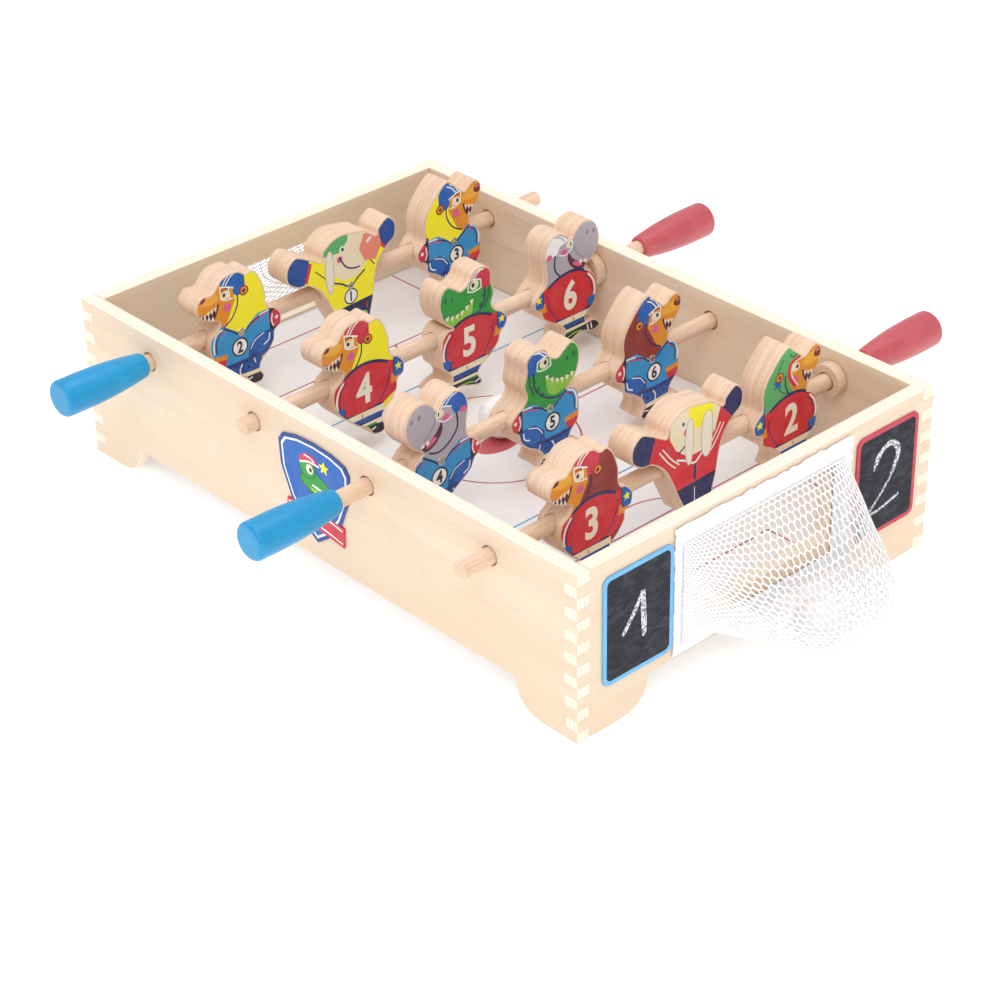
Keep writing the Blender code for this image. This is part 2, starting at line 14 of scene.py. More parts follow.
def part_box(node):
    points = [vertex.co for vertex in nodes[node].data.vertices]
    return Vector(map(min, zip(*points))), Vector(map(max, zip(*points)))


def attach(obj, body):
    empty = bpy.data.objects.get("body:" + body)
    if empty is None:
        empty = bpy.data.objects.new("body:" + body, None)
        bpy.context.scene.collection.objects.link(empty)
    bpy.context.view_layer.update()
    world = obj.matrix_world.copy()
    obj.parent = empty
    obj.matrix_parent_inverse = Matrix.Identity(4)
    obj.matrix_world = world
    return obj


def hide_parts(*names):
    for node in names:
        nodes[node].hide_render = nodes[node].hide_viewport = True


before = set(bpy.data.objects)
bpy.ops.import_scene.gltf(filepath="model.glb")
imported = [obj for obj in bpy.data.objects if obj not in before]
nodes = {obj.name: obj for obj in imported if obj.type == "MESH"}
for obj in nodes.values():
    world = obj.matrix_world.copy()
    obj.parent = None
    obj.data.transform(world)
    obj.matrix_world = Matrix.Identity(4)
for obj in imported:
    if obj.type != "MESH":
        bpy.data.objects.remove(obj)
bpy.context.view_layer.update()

MM = 0.001
BOX_HALF_LENGTH = 212.5 * MM
BOX_HALF_WIDTH = 140.5 * MM
BOX_HEIGHT = 105 * MM
WALL = 9.5 * MM
FEET_HEIGHT = 19 * MM              # from the floor to the walls' lower edge, between the feet
FIELD_HEIGHT = 39 * MM             # the field's upper face
HOLES_FROM = 37 * MM               # the rods' holes lie above this
CORNER_FROM = 0.955                # share of the half length or width where the finger joints start
PLIES = 7
PLAYER_THICKNESS = 18 * MM
INK_BASE = 0.02 * MM               # first printed layer, then one step for each layer over it
INK_STEP = 0.012 * MM
WOOD_BORDER = 1.0 * MM             # bare wood left round a print

# Camera, from a fit to the box's corners
CAMERA_SPOT = (1.05427, -0.96198, 0.87887)
CAMERA_RIGHT = (0.68218, 0.73101, -0.01583)
CAMERA_FORWARD = (-0.6273, 0.5740, -0.5263)
CAMERA_LENS = 100.36

scene = bpy.context.scene
noise.seed_set(4)                  # the nets hang the same each time


# ---------------------------------------------------------------- small makers

def srgb(code):
    """sRGB hex to a linear colour."""
    parts = [int(code[i:i + 2], 16) / 255 for i in (1, 3, 5)]
    linear = [p / 12.92 if p <= 0.04045 else ((p + 0.055) / 1.055) ** 2.4 for p in parts]
    return (*linear, 1.0)


def add(tree, kind, inputs=None, **settings):
    """Adds a node with its settings, values and links."""
    node = tree.nodes.new(kind)
    for key, value in settings.items():
        setattr(node, key, value)
    for key, value in (inputs or {}).items():
        if isinstance(value, bpy.types.NodeSocket):
            tree.links.new(value, node.inputs[key])
        else:
            node.inputs[key].default_value = value
    return node


def new_finish(name, colour, roughness, **inputs):
    """A plain material of this colour; returns it and its node tree."""
    material = bpy.data.materials.new(name)
    material.use_nodes = True
    tree = material.node_tree
    shader = tree.nodes["Principled BSDF"]
    shader.inputs["Base Color"].default_value = srgb(colour)
    shader.inputs["Roughness"].default_value = roughness
    for key, value in inputs.items():
        shader.inputs[key.replace("_", " ")].default_value = value
    material.diffuse_color = srgb(colour)
    return material, tree


def grain_noise(tree, size_mm, detail=3, shift=(0, 0, 0), **more):
    """Noise whose features have this size along X, Y and Z, in millimetres."""
    place = add(tree, "ShaderNodeTexCoord").outputs["Object"]
    scaled = add(tree, "ShaderNodeMapping", {
        "Vector": place, "Scale": [1000 / s for s in size_mm], "Location": shift})
    return add(tree, "ShaderNodeTexNoise", {
        "Vector": scaled.outputs[0], "Scale": 1.0, "Detail": detail, **more}).outputs["Fac"]


def ease(tree, value, low, high, to_low=0.0, to_high=1.0):
    return add(tree, "ShaderNodeMapRange", {
        0: value, 1: low, 2: high, 3: to_low, 4: to_high}).outputs[0]


def work(tree, how, first, second=0.0):
    return add(tree, "ShaderNodeMath", {0: first, 1: second}, operation=how).outputs[0]


def blend_colour(tree, factor, first, second, how="MIX"):
    a = first if isinstance(first, bpy.types.NodeSocket) else srgb(first)
    b = second if isinstance(second, bpy.types.NodeSocket) else srgb(second)
    return add(tree, "ShaderNodeMix", {0: factor, 6: a, 7: b},
               data_type="RGBA", blend_type=how).outputs[2]


def tinted(tree, colour, mask, share, tint):
    """The colour with at most this share of the tint where the mask is 1."""
    return blend_colour(tree, ease(tree, mask, 0, 1, 0, share), colour, tint)


def finished(material, colour, height, height_mm, strength):
    """The material with its colour pattern and its relief on the shader."""
    tree = material.node_tree
    shader = tree.nodes["Principled BSDF"]
    bump = add(tree, "ShaderNodeBump", {
        "Height": height, "Distance": height_mm * MM, "Strength": strength})
    tree.links.new(bump.outputs[0], shader.inputs["Normal"])
    tree.links.new(colour, shader.inputs["Base Color"])
    return material


def show(name, bm, body, finishes, stands_for=(), crease=35):
    """Makes the finished piece, riding on its body and standing for its CAD nodes."""
    bmesh.ops.recalc_face_normals(bm, faces=bm.faces)
    mesh = bpy.data.meshes.new(name)
    bm.to_mesh(mesh)
    bm.free()
    for finish in finishes:
        mesh.materials.append(finish)
    mesh.shade_smooth()
    mesh.set_sharp_from_angle(angle=math.radians(crease))
    piece = bpy.data.objects.new(name, mesh)
    scene.collection.objects.link(piece)
    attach(piece, body)
    if stands_for:
        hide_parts(*stands_for)
    return piece


def turned(profile, steps=56, closed=False):
    """Solid turned about +Y from (radius, y) points; an open profile ends on the axis."""
    bm = bmesh.new()
    verts = [bm.verts.new((r, y, 0)) for r, y in profile]
    edges = [bm.edges.new(pair) for pair in zip(verts, verts[1:])]
    if closed:
        edges.append(bm.edges.new((verts[-1], verts[0])))
    bmesh.ops.spin(bm, geom=verts + edges, cent=(0, 0, 0), axis=(0, 1, 0),
                   angle=math.tau, steps=steps, use_merge=True)
    bmesh.ops.remove_doubles(bm, verts=bm.verts, dist=0.002 * MM)
    bmesh.ops.recalc_face_normals(bm, faces=bm.faces)
    return bm


def move(bm, where):
    bmesh.ops.translate(bm, verts=bm.verts, vec=where)
    return bm


def raised(bm, by):
    """Draws flat faces out into a closed solid."""
    grown = bmesh.ops.extrude_face_region(bm, geom=bm.faces[:])
    return bmesh.ops.translate(
        bm, vec=by, verts=[g for g in grown["geom"] if isinstance(g, bmesh.types.BMVert)])


def eased(bm, edges, by_mm, segments):
    """Rounds the edges off."""
    bmesh.ops.bevel(bm, geom=edges, offset=by_mm * MM, offset_type="OFFSET", segments=segments,
                    profile=0.5, affect="EDGES", material=-1, clamp_overlap=True)


def cad_shape(node):
    """The CAD piece's mesh, merged, with each flat face whole."""
    bm = bmesh.new()
    bm.from_mesh(nodes[node].data)
    bmesh.ops.remove_doubles(bm, verts=bm.verts, dist=0.01 * MM)
    bmesh.ops.dissolve_limit(bm, angle_limit=math.radians(1), verts=bm.verts, edges=bm.edges)
    return bm


def merge_into(bm, other):
    """Adds the other bmesh's geometry to bm."""
    carrier = bpy.data.meshes.new("carrier")
    other.to_mesh(carrier)
    other.free()
    bm.from_mesh(carrier)
    bpy.data.meshes.remove(carrier)


def carved(bm, tools):
    """The solid with each closed tool cut out of it."""
    meshes = []
    blanks = []
    for shape in [bm] + tools:
        mesh = bpy.data.meshes.new("blank")
        bmesh.ops.recalc_face_normals(shape, faces=shape.faces)
        shape.to_mesh(mesh)
        shape.free()
        meshes.append(mesh)
        blanks.append(bpy.data.objects.new("blank", mesh))
        scene.collection.objects.link(blanks[-1])
    for tool in blanks[1:]:
        cut = blanks[0].modifiers.new("cut", "BOOLEAN")
        cut.operation = "DIFFERENCE"
        cut.solver = "EXACT"
        cut.object = tool
    graph = bpy.context.evaluated_depsgraph_get()
    result = bpy.data.meshes.new_from_object(blanks[0].evaluated_get(graph))
    made = bmesh.new()
    made.from_mesh(result)
    for blank in blanks:
        bpy.data.objects.remove(blank)
    for mesh in meshes + [result]:
        bpy.data.meshes.remove(mesh)
    return made


# ---------------------------------------------------------------- flat shapes, in millimetres

def between(p0, p1, p2, p3, t):
    """Catmull-Rom point at t on the way from the second point to the third."""
    return 0.5 * (2 * p1 + (p2 - p0) * t + (2 * p0 - 5 * p1 + 4 * p2 - p3) * t ** 2
                  + (3 * p1 - p0 - 3 * p2 + p3) * t ** 3)


def soft_loop(points, steps=5):
    """Closed smooth curve through the points."""
    count = len(points)
    curve = []
    for i in range(count):
        near = [Vector(points[(i + k) % count]) for k in (-1, 0, 1, 2)]
        curve += [tuple(between(*near, step / steps)) for step in range(steps)]
    return curve


def soft_line(points, steps=5):
    """Open smooth curve through the points."""
    ends = [points[0]] + list(points) + [points[-1]]
    curve = []
    for i in range(1, len(ends) - 2):
        near = [Vector(ends[i + k]) for k in (-1, 0, 1, 2)]
        curve += [between(*near, step / steps) for step in range(steps)]
    return curve + [Vector(points[-1])]


def ellipse(u, v, across, up, turn=0, steps=22):
    turn = math.radians(turn)
    points = []
    for i in range(steps):
        a = math.tau * i / steps
        x, y = across * math.cos(a), up * math.sin(a)
        points.append((u + x * math.cos(turn) - y * math.sin(turn),
                       v + x * math.sin(turn) + y * math.cos(turn)))
    return points


def ribbon(points, width):
    """Stroke of a brush along a soft line."""
    line = soft_line(points) if len(points) > 2 else [Vector(p) for p in points]
    left, right = [], []
    for i, p in enumerate(line):
        along = line[min(i + 1, len(line) - 1)] - line[max(i - 1, 0)]
        side = Vector((-along.y, along.x)).normalized() * width / 2
        left.append(tuple(p + side))
        right.append(tuple(p - side))
    return left + right[::-1]


def star(u, v, size, points=5):
    shape = []
    for i in range(2 * points):
        r = size if i % 2 == 0 else 0.45 * size
        a = math.pi / 2 + math.pi * i / points
        shape.append((u + r * math.cos(a), v + r * math.sin(a)))
    return shape


def plate(u, v, half_u, half_v, corner, steps=6):
    """Rectangle with rounded corners."""
    points = []
    for quarter, (su, sv) in enumerate(((1, 1), (-1, 1), (-1, -1), (1, -1))):
        for i in range(steps + 1):
            a = math.pi / 2 * (quarter + i / steps)
            points.append((u + su * (half_u - corner) + corner * math.cos(a),
                           v + sv * (half_v - corner) + corner * math.sin(a)))
    return points


def flat_face(points):
    bm = bmesh.new()
    bm.faces.new([bm.verts.new((u * MM, v * MM, 0)) for u, v in points])
    return bm


def is_anticlockwise(points):
    return sum(a[0] * b[1] - b[0] * a[1] for a, b in zip(points, points[1:] + points[:1])) > 0


def inset_outline(points, by_mm):
    """The outline drawn in by this much on all sides."""
    inward = 1 if is_anticlockwise(points) else -1
    drawn = []
    for before, here, after in zip(points[-1:] + points[:-1], points, points[1:] + points[:1]):
        along = Vector(after) - Vector(before)
        side = Vector((-along.y, along.x)).normalized() * by_mm * inward
        drawn.append(tuple(Vector(here) + side))
    return drawn


def trimmed(points, outline):
    """The part of a shape that lies inside the outline."""
    shape, border = ([Vector(p) for p in (loop if is_anticlockwise(loop) else loop[::-1])]
                     for loop in (points, outline))
    count = len(shape)
    loops = [list(range(count)), list(range(count, count + len(border)))]
    spots, _, faces, _, _, sources = delaunay_2d_cdt(shape + border, [], loops, 1, 1e-4, True)
    bm = bmesh.new()
    verts = [bm.verts.new((p.x * MM, p.y * MM, 0)) for p in spots]
    for corners, source in zip(faces, sources):
        if {0, 1} <= set(source):
            bm.faces.new([verts[c] for c in corners])
    bmesh.ops.delete(bm, geom=[v for v in bm.verts if not v.link_faces], context="VERTS")
    return bm


def encloses(outline, point):
    """Whether a point is inside an outline: a line from it crosses the outline an odd number
    of times."""
    inside = False
    x, y = point
    for (ax, ay), (bx, by) in zip(outline, outline[1:] + outline[:1]):
        if (ay > y) != (by > y) and x < ax + (bx - ax) * (y - ay) / (by - ay):
            inside = not inside
    return inside


def digit_face(text, u, v, height, flip):
    """A plain bold figure, centred, of this height."""
    words = bpy.data.curves.new("figure", "FONT")
    words.body = text
    words.align_x = "CENTER"
    words.align_y = "CENTER"
    words.size = height * MM / 0.72
    words.offset = 0.045 * height * MM
    words.resolution_u = 4
    holder = bpy.data.objects.new("figure", words)
    scene.collection.objects.link(holder)
    graph = bpy.context.evaluated_depsgraph_get()
    mesh = bpy.data.meshes.new_from_object(holder.evaluated_get(graph))
    bm = bmesh.new()
    bm.from_mesh(mesh)
    bpy.data.objects.remove(holder)
    bpy.data.meshes.remove(mesh)
    bmesh.ops.remove_doubles(bm, verts=bm.verts, dist=1e-6)
    low = min(p.co.y for p in bm.verts)
    high = max(p.co.y for p in bm.verts)
    left = min(p.co.x for p in bm.verts)
    right = max(p.co.x for p in bm.verts)
    move(bm, (-(left + right) / 2, -(low + high) / 2, 0))
    bmesh.ops.scale(bm, verts=bm.verts, vec=(0.86 * (-1 if flip else 1), 1, 1))
    return move(bm, (u * MM, v * MM, 0))


def layered(art, outline, placing, names, base=INK_BASE, step=INK_STEP, mirror=False):
    """Printed picture: each entry is a thin closed plate, a step higher than those it covers.

    An entry is (colour, outline), (colour, line, width) for a stroke or (colour, figure, u, v,
    height) for a number. What crosses the outline is cut off there. Returns the bmesh.
    """
    whole = bmesh.new()
    laid = []
    for colour, *what in art:
        if isinstance(what[0], str):
            flat = digit_face(*what, mirror)
        else:
            shape = ribbon(*what) if len(what) > 1 else what[0]
            cut = outline and not all(encloses(outline, p) for p in shape)
            flat = trimmed(shape, outline) if cut else flat_face(shape)
        if not flat.faces:
            flat.free()
            continue
        us, vs = [p.co.x for p in flat.verts], [p.co.y for p in flat.verts]
        reach = (min(us), max(us), min(vs), max(vs))
        under = [height for height, other in laid if reach[0] < other[1] and other[0] < reach[1]
                 and reach[2] < other[3] and other[2] < reach[3]]
        level = max(under, default=-1) + 1
        laid.append((level, reach))
        bmesh.ops.recalc_face_normals(flat, faces=flat.faces)
        for face in flat.faces:
            face.material_index = names.index(colour)
        raised(flat, (0, 0, base + step * level))
        bmesh.ops.recalc_face_normals(flat, faces=flat.faces)
        merge_into(whole, flat)
    bmesh.ops.transform(whole, verts=whole.verts, matrix=placing)
    return whole


def facing(origin, u_way, v_way, out_way):
    """Matrix that puts a flat drawing on a surface."""
    matrix = Matrix((u_way, v_way, out_way)).transposed().to_4x4()
    matrix.translation = origin
    return matrix


# ---------------------------------------------------------------- materials

def birch_veneer(name, along):
    """Rotary-cut birch plywood face, sanded and clear lacquered: pale, with soft streaks along
    the grain, a faint warmer figure and small pores."""
    material, tree = new_finish(name, "#F5E3C9", 0.5)
    sizes = {"X": ((260, 60, 22), (46, 9, 1.6), (7, 3, 0.8)),
             "Y": ((60, 260, 22), (9, 46, 1.6), (3, 7, 0.8))}[along]
    broad = ease(tree, grain_noise(tree, sizes[0], 4, Distortion=0.6), 0.36, 0.66)
    streak = ease(tree, grain_noise(tree, sizes[1], 4, (3.1, 1.7, 5.3)), 0.42, 0.72)
    pore = ease(tree, grain_noise(tree, sizes[2], 2, (9.2, 4.4, 1.9)), 0.63, 0.72)
    colour = blend_colour(tree, broad, "#EAD6BE", "#E6CEB3")
    colour = tinted(tree, colour, streak, 0.35, "#DEC1A1")
    colour = tinted(tree, colour, pore, 0.22, "#C9A377")
    return finished(material, colour, streak, 0.05, 0.4)


def birch_plies(name, across):
    """Sanded edge of birch plywood: seven plies with their grain crossed in turn, so that light
    long-grain bands lie between slightly darker end-grain ones, with thin glue lines."""
    material, tree = new_finish(name, "#F6E8D2", 0.62)
    place = add(tree, "ShaderNodeTexCoord").outputs["Object"]
    part = add(tree, "ShaderNodeSeparateXYZ", {0: place}).outputs[across]
    ply = WALL / PLIES
    start = {"X": BOX_HALF_LENGTH, "Y": BOX_HALF_WIDTH}[across] - WALL
    wobble = ease(tree, grain_noise(tree, (30, 30, 30), 2), 0, 1, -0.12, 0.12)
    counted = work(tree, "MULTIPLY", work(tree, "ABSOLUTE", part), 1 / ply)
    moved = work(tree, "ADD", work(tree, "ADD", counted, -start / ply), wobble)
    band = work(tree, "PINGPONG", moved, 1.0)
    cross = ease(tree, band, 0.44, 0.56)
    from_glue = work(tree, "SUBTRACT", band, 0.5)
    line = work(tree, "MULTIPLY", ease(tree, from_glue, -0.09, 0.0),
                ease(tree, from_glue, 0.09, 0.0))
    speck = ease(tree, grain_noise(tree, (1.6, 1.6, 1.6), 3), 0.35, 0.7)
    colour = blend_colour(tree, cross, "#FCF4E8", "#F4E6D0")
    colour = tinted(tree, colour, speck, 0.25, "#DDBF97")
    colour = tinted(tree, colour, line, 0.3, "#CFAE88")
    return finished(material, colour, speck, 0.06, 0.4)


def beech(name, along):
    """Steamed beech, sanded and oiled: pinkish tan, straight rings, and the short dark flecks
    that its rays make, about 2 mm long, drawn a little coarse so that they show."""
    material, tree = new_finish(name, "#E4C3A1", 0.55)
    sizes = {"Y": ((5, 90, 5), (1.3, 26, 1.3), (0.7, 3.2, 0.7)),
             "Z": ((2.4, 70, 90), (0.9, 45, 60), (0.5, 2.0, 3.2))}[along]
    ring = ease(tree, grain_noise(tree, sizes[0], 3, Distortion=0.3), 0.38, 0.64)
    line = ease(tree, grain_noise(tree, sizes[1], 3, (2.3, 7.1, 4.9)), 0.45, 0.7)
    fleck = ease(tree, grain_noise(tree, sizes[2], 1, (5.5, 2.2, 8.8)), 0.64, 0.7)
    colour = blend_colour(tree, ring, "#EACCB2", "#DFBFA4")
    colour = tinted(tree, colour, line, 0.4, "#CBA17F")
    colour = tinted(tree, colour, fleck, 0.35, "#B98C66")
    return finished(material, colour, line, 0.05, 0.5)


def satin_lacquer(name, light, dark):
    """Coloured satin lacquer sprayed on turned beech: even, softly glossy, with the wood's
    grain telegraphing through as faint lighter lines along the grip."""
    material, tree = new_finish(name, light, 0.38, Coat_Weight=0.05, Coat_Roughness=0.3)
    line = ease(tree, grain_noise(tree, (1.4, 30, 1.4), 3), 0.4, 0.72)
    cloud = ease(tree, grain_noise(tree, (26, 26, 26), 2), 0.35, 0.65)
    colour = blend_colour(tree, cloud, light, dark)
    colour = blend_colour(tree, ease(tree, line, 0, 1, 0, 0.22), colour, "#FFFFFF", "SOFT_LIGHT")
    return finished(material, colour, line, 0.05, 0.5)


def screen_ink(name, colour):
    """Screen-printed ink on sanded wood: flat and opaque, semi-matt, with pinhole specks where
    the grain of the wood shows through."""
    material, tree = new_finish(name, colour, 0.5, Specular_IOR_Level=0.3)
    speck = ease(tree, grain_noise(tree, (0.8, 0.8, 5), 2), 0.6, 0.8)
    cloud = grain_noise(tree, (9, 9, 9), 2)
    shade = blend_colour(tree, ease(tree, cloud, 0.3, 0.7, 0, 0.03), colour, "#FFFFFF")
    shade = tinted(tree, shade, speck, 0.05, "#F2DCC0")
    return finished(material, shade, cloud, 0.02, 0.4)


def white_laminate():
    """White melamine on fibreboard: cool white, smooth, with a faint orange-peel texture."""
    material, tree = new_finish("white_melamine_laminate", "#F3F1F3", 0.32)
    peel = grain_noise(tree, (2.5, 2.5, 2.5), 2)
    cloud = ease(tree, grain_noise(tree, (70, 70, 70), 2), 0.3, 0.7)
    return finished(material, blend_colour(tree, cloud, "#F6F4F6", "#EFECEF"), peel, 0.01, 0.3)


def zinc_steel():
    """Zinc-plated steel screw, stamped: warm silver, fine turning scratches."""
    material, tree = new_finish("zinc_plated_steel", "#C9C2B6", 0.34, Metallic=1.0)
    scratch = grain_noise(tree, (0.4, 0.4, 0.4), 3)
    colour = blend_colour(tree, ease(tree, scratch, 0.3, 0.7), "#D5CFC4", "#A89E90")
    return finished(material, colour, scratch, 0.02, 0.5)


def net_yarn():
    """Polyester yarn, warp-knitted to a hexagonal net: matt white with a soft fibre sheen; the
    twist is 0.5 mm, drawn 1.1 mm."""
    material, tree = new_finish("white_polyester_yarn", "#FBFBFC", 0.85, Sheen_Weight=0.3)
    fibre = grain_noise(tree, (0.8, 0.8, 0.8), 2)
    colour = blend_colour(tree, ease(tree, fibre, 0.35, 0.7), "#FFFFFF", "#E9E8EC")
    return finished(material, colour, fibre, 0.12, 0.7)


def knitted_tape():
    """Knitted polyester binding tape: matt white, with ribs 1.3 mm apart."""
    material, tree = new_finish("white_knitted_tape", "#F7F7F9", 0.9, Sheen_Weight=0.3)
    place = add(tree, "ShaderNodeTexCoord").outputs["Object"]
    knit = [add(tree, "ShaderNodeTexWave", {"Vector": place, "Scale": 1000 / 1.3 / 6.283,
                "Distortion": 1.2, "Detail Scale": 2.0}, bands_direction=way).outputs["Fac"]
            for way in ("Y", "Z")]
    loops = work(tree, "MULTIPLY", *knit)
    return finished(material, blend_colour(tree, loops, "#EEEDF1", "#FAFAFB"), loops, 0.12, 0.6)


def chalkboard_print():
    """Matt charcoal blackboard film, with a trace of rubbed-in chalk dust."""
    material, tree = new_finish("matt_blackboard_film", "#303139", 0.85, Specular_IOR_Level=0.3)
    dust = ease(tree, grain_noise(tree, (9, 9, 4), 4, Distortion=0.8), 0.45, 0.85)
    tooth = grain_noise(tree, (0.6, 0.6, 0.6), 2)
    return finished(material, tinted(tree, "#2C2D35", dust, 0.22, "#85868C"), tooth, 0.02, 0.5)


def chalk_line():
    """Chalk rubbed on: white, broken where it skips the film's tooth."""
    material, tree = new_finish("white_chalk", "#E9E9EC", 0.95)
    skip = ease(tree, grain_noise(tree, (0.9, 0.9, 1.2), 3), 0.42, 0.58)
    tree.links.new(blend_colour(tree, skip, "#6A6B73", "#F3F3F5"),
                   tree.nodes["Principled BSDF"].inputs["Base Color"])
    return material


def ball_plastic():
    """Moulded white celluloid-like plastic: matt, slightly mottled."""
    material, tree = new_finish("matt_white_plastic", "#FAFAFB", 0.55, Subsurface_Weight=0.05)
    mottle = grain_noise(tree, (3, 3, 3), 3)
    colour = blend_colour(tree, ease(tree, mottle, 0.3, 0.7), "#FFFFFF", "#F1F1F4")
    return finished(material, colour, mottle, 0.03, 0.5)


INKS = {
    "jersey_blue": "#2E96D3", "jersey_red": "#D62C36", "jersey_yellow": "#FFF420",
    "navy": "#25295E", "royal": "#1E63B8", "deep_blue": "#1F4C9C", "black": "#23202C",
    "white": "#F6F6F4", "cream": "#F5E6C4", "orange": "#E8941F", "amber": "#F2B13A",
    "mane_yellow": "#FFF420", "mane_brown": "#93332E", "nose_brown": "#7C2520",
    "pink": "#E0638F", "green": "#2F9E3C", "lime": "#8FCB3B", "dark_green": "#1F6B3A",
    "grey": "#B3ADB6", "grey_dark": "#8B8591", "mouth": "#5B2336", "coral": "#EE8B76",
    "helmet_red": "#D2354A", "cap_green": "#5DB36A", "bone": "#F3EBD8",
    "line_red": "#B4606C", "line_blue": "#4F9FC9", "spot_red": "#CD5F69",
}
ink_names = list(INKS)
ink_finishes = [screen_ink("screen_ink_" + name, code) for name, code in INKS.items()]
veneer = {way: birch_veneer("birch_veneer_grain_" + way.lower(), way) for way in "XY"}
plies = {way: birch_plies("birch_ply_edge_" + way.lower(), way) for way in "XY"}
beech_rod = beech("beech_dowel", "Y")
beech_player = beech("beech_board", "Z")
blue_lacquer = satin_lacquer("blue_satin_lacquer", "#0090C8", "#0089C0")
red_lacquer = satin_lacquer("red_satin_lacquer", "#BC5058", "#B54A52")
laminate = white_laminate()
steel = zinc_steel()
yarn = net_yarn()
tape = knitted_tape()
slate = chalkboard_print()
chalk = chalk_line()
plastic = ball_plastic()


# ---------------------------------------------------------------- box

def panel(node, through, along, across):
    """CAD panel with its rim, feet, goal and rod holes eased, faces veneered, edges in plies."""
    bm = cad_shape(node)
    axis = "XYZ".index(through)
    low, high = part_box(node)
    rim = []
    for edge in bm.edges:
        if len(edge.link_faces) != 2 or edge.calc_face_angle() < 0.6:
            continue
        a, b = (v.co for v in edge.verts)
        if abs(a[axis] - b[axis]) > 0.01 * MM:
            continue
        on_face = min(abs(a[axis] - low[axis]), abs(a[axis] - high[axis])) < 0.01 * MM
        if not on_face:
            continue
        middle = (a + b) / 2
        at_corner = max(abs(a.x) / BOX_HALF_LENGTH, abs(a.y) / BOX_HALF_WIDTH) > CORNER_FROM
        on_top = middle.z > BOX_HEIGHT - 0.01 * MM
        on_foot = middle.z < FEET_HEIGHT + 0.1 * MM and a.z != b.z
        under = abs(middle.z - FEET_HEIGHT) < 0.1 * MM and abs(a.z - b.z) < 0.01 * MM
        if on_top or on_foot or under or (middle.z > HOLES_FROM and not at_corner):
            rim.append(edge)
    eased(bm, rim, 0.5, 3)
    bm.normal_update()
    for face in bm.faces:
        face.material_index = 0 if abs(face.normal[axis]) > 0.75 else 1
    show(node + "_wood", bm, "root", [veneer[along], plies[across]], [node], 30)


for team in ("blue", "red"):
    panel("side_panel_" + team, "Y", "X", "Y")
for end in ("score", "plain"):
    panel("end_panel_" + end, "X", "Y", "X")


def pitch():
    """Laminated board, with the field's lines and middle spot printed on it."""
    bm = cad_shape("pitch_board")
    eased(bm, [e for e in bm.edges if e.calc_face_angle() > 0.6], 0.3, 2)
    show("pitch_board_laminate", bm, "root", [laminate], ["pitch_board"])
    width = 1.2
    reach = 130.6
    lines = [("line_red", [(0, -reach), (0, reach)], width)]
    for side in (-1, 1):
        lines.append(("line_blue", [(79.5 * side, -reach), (79.5 * side, reach)], width))
        box_line = [(202.5 * side, -95), (129 * side, -95), (129 * side, 95), (202.5 * side, 95)]
        small = [(202.5 * side, -40), (181 * side, -40), (181 * side, 40), (202.5 * side, 40)]
        for path in (box_line, small):
            for a, b in zip(path, path[1:]):
                lines.append(("line_red", [a, b], width))
        spread = math.acos((149 - 129) / 39.5)
        arc = [((149 - 39.5 * math.cos(spread * t)) * side, 39.5 * math.sin(spread * t))
               for t in [k / 8 for k in range(-8, 9)]]
        lines.append(("line_red", arc, width))
    top = facing((0, 0, FIELD_HEIGHT), (1, 0, 0), (0, 1, 0), (0, 0, 1))
    whole = layered(lines, None, top, ink_names, 0.03 * MM, 0)
    hoop = bmesh.new()
    for radius in (51.6 * MM, 50.4 * MM):
        bmesh.ops.create_circle(hoop, segments=96, radius=radius, cap_ends=False)
    bmesh.ops.bridge_loops(hoop, edges=hoop.edges)
    for face in hoop.faces:
        face.material_index = ink_names.index("line_red")
    raised(hoop, (0, 0, 0.03 * MM))
    bmesh.ops.recalc_face_normals(hoop, faces=hoop.faces)
    bmesh.ops.transform(hoop, verts=hoop.verts, matrix=top)
    merge_into(whole, hoop)
    spot = layered([("spot_red", ellipse(5.5, -2.5, 8.9, 16.5, 0, 40))], None, top,
                   ink_names, 0.05 * MM)
    merge_into(whole, spot)
    show("pitch_lines", whole, "root", ink_finishes)


pitch()


# ---------------------------------------------------------------- rods, handles, rings, screws

def dowel(name):
    low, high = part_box(name + "_rod")
    x, z = (low.x + high.x) / 2, (low.z + high.z) / 2
    r, length = (high.x - low.x) / 2, high.y - low.y
    edge = 0.7 * MM
    profile = [(0, 0), (r - edge, 0), (r - 0.45 * edge, 0.12 * edge),
               (r - 0.12 * edge, 0.45 * edge),
               (r, edge), (r, length * 0.33), (r, length * 0.66), (r, length - edge),
               (r - 0.12 * edge, length - 0.45 * edge), (r - 0.45 * edge, length - 0.12 * edge),
               (r - edge, length), (0, length)]
    bm = move(turned(profile, 48), (x, low.y, z))
    show(name + "_dowel", bm, name + "_rod", [beech_rod], [name + "_rod"])
    return x, z


def quarter_round(radius, edge, steps):
    """Rounded edge from an end's face to its side, as (radius, y) points."""
    angles = [math.pi / 2 * i / steps for i in range(steps + 1)]
    return [(radius - edge * (1 - math.sin(a)), edge * (1 - math.cos(a))) for a in angles]


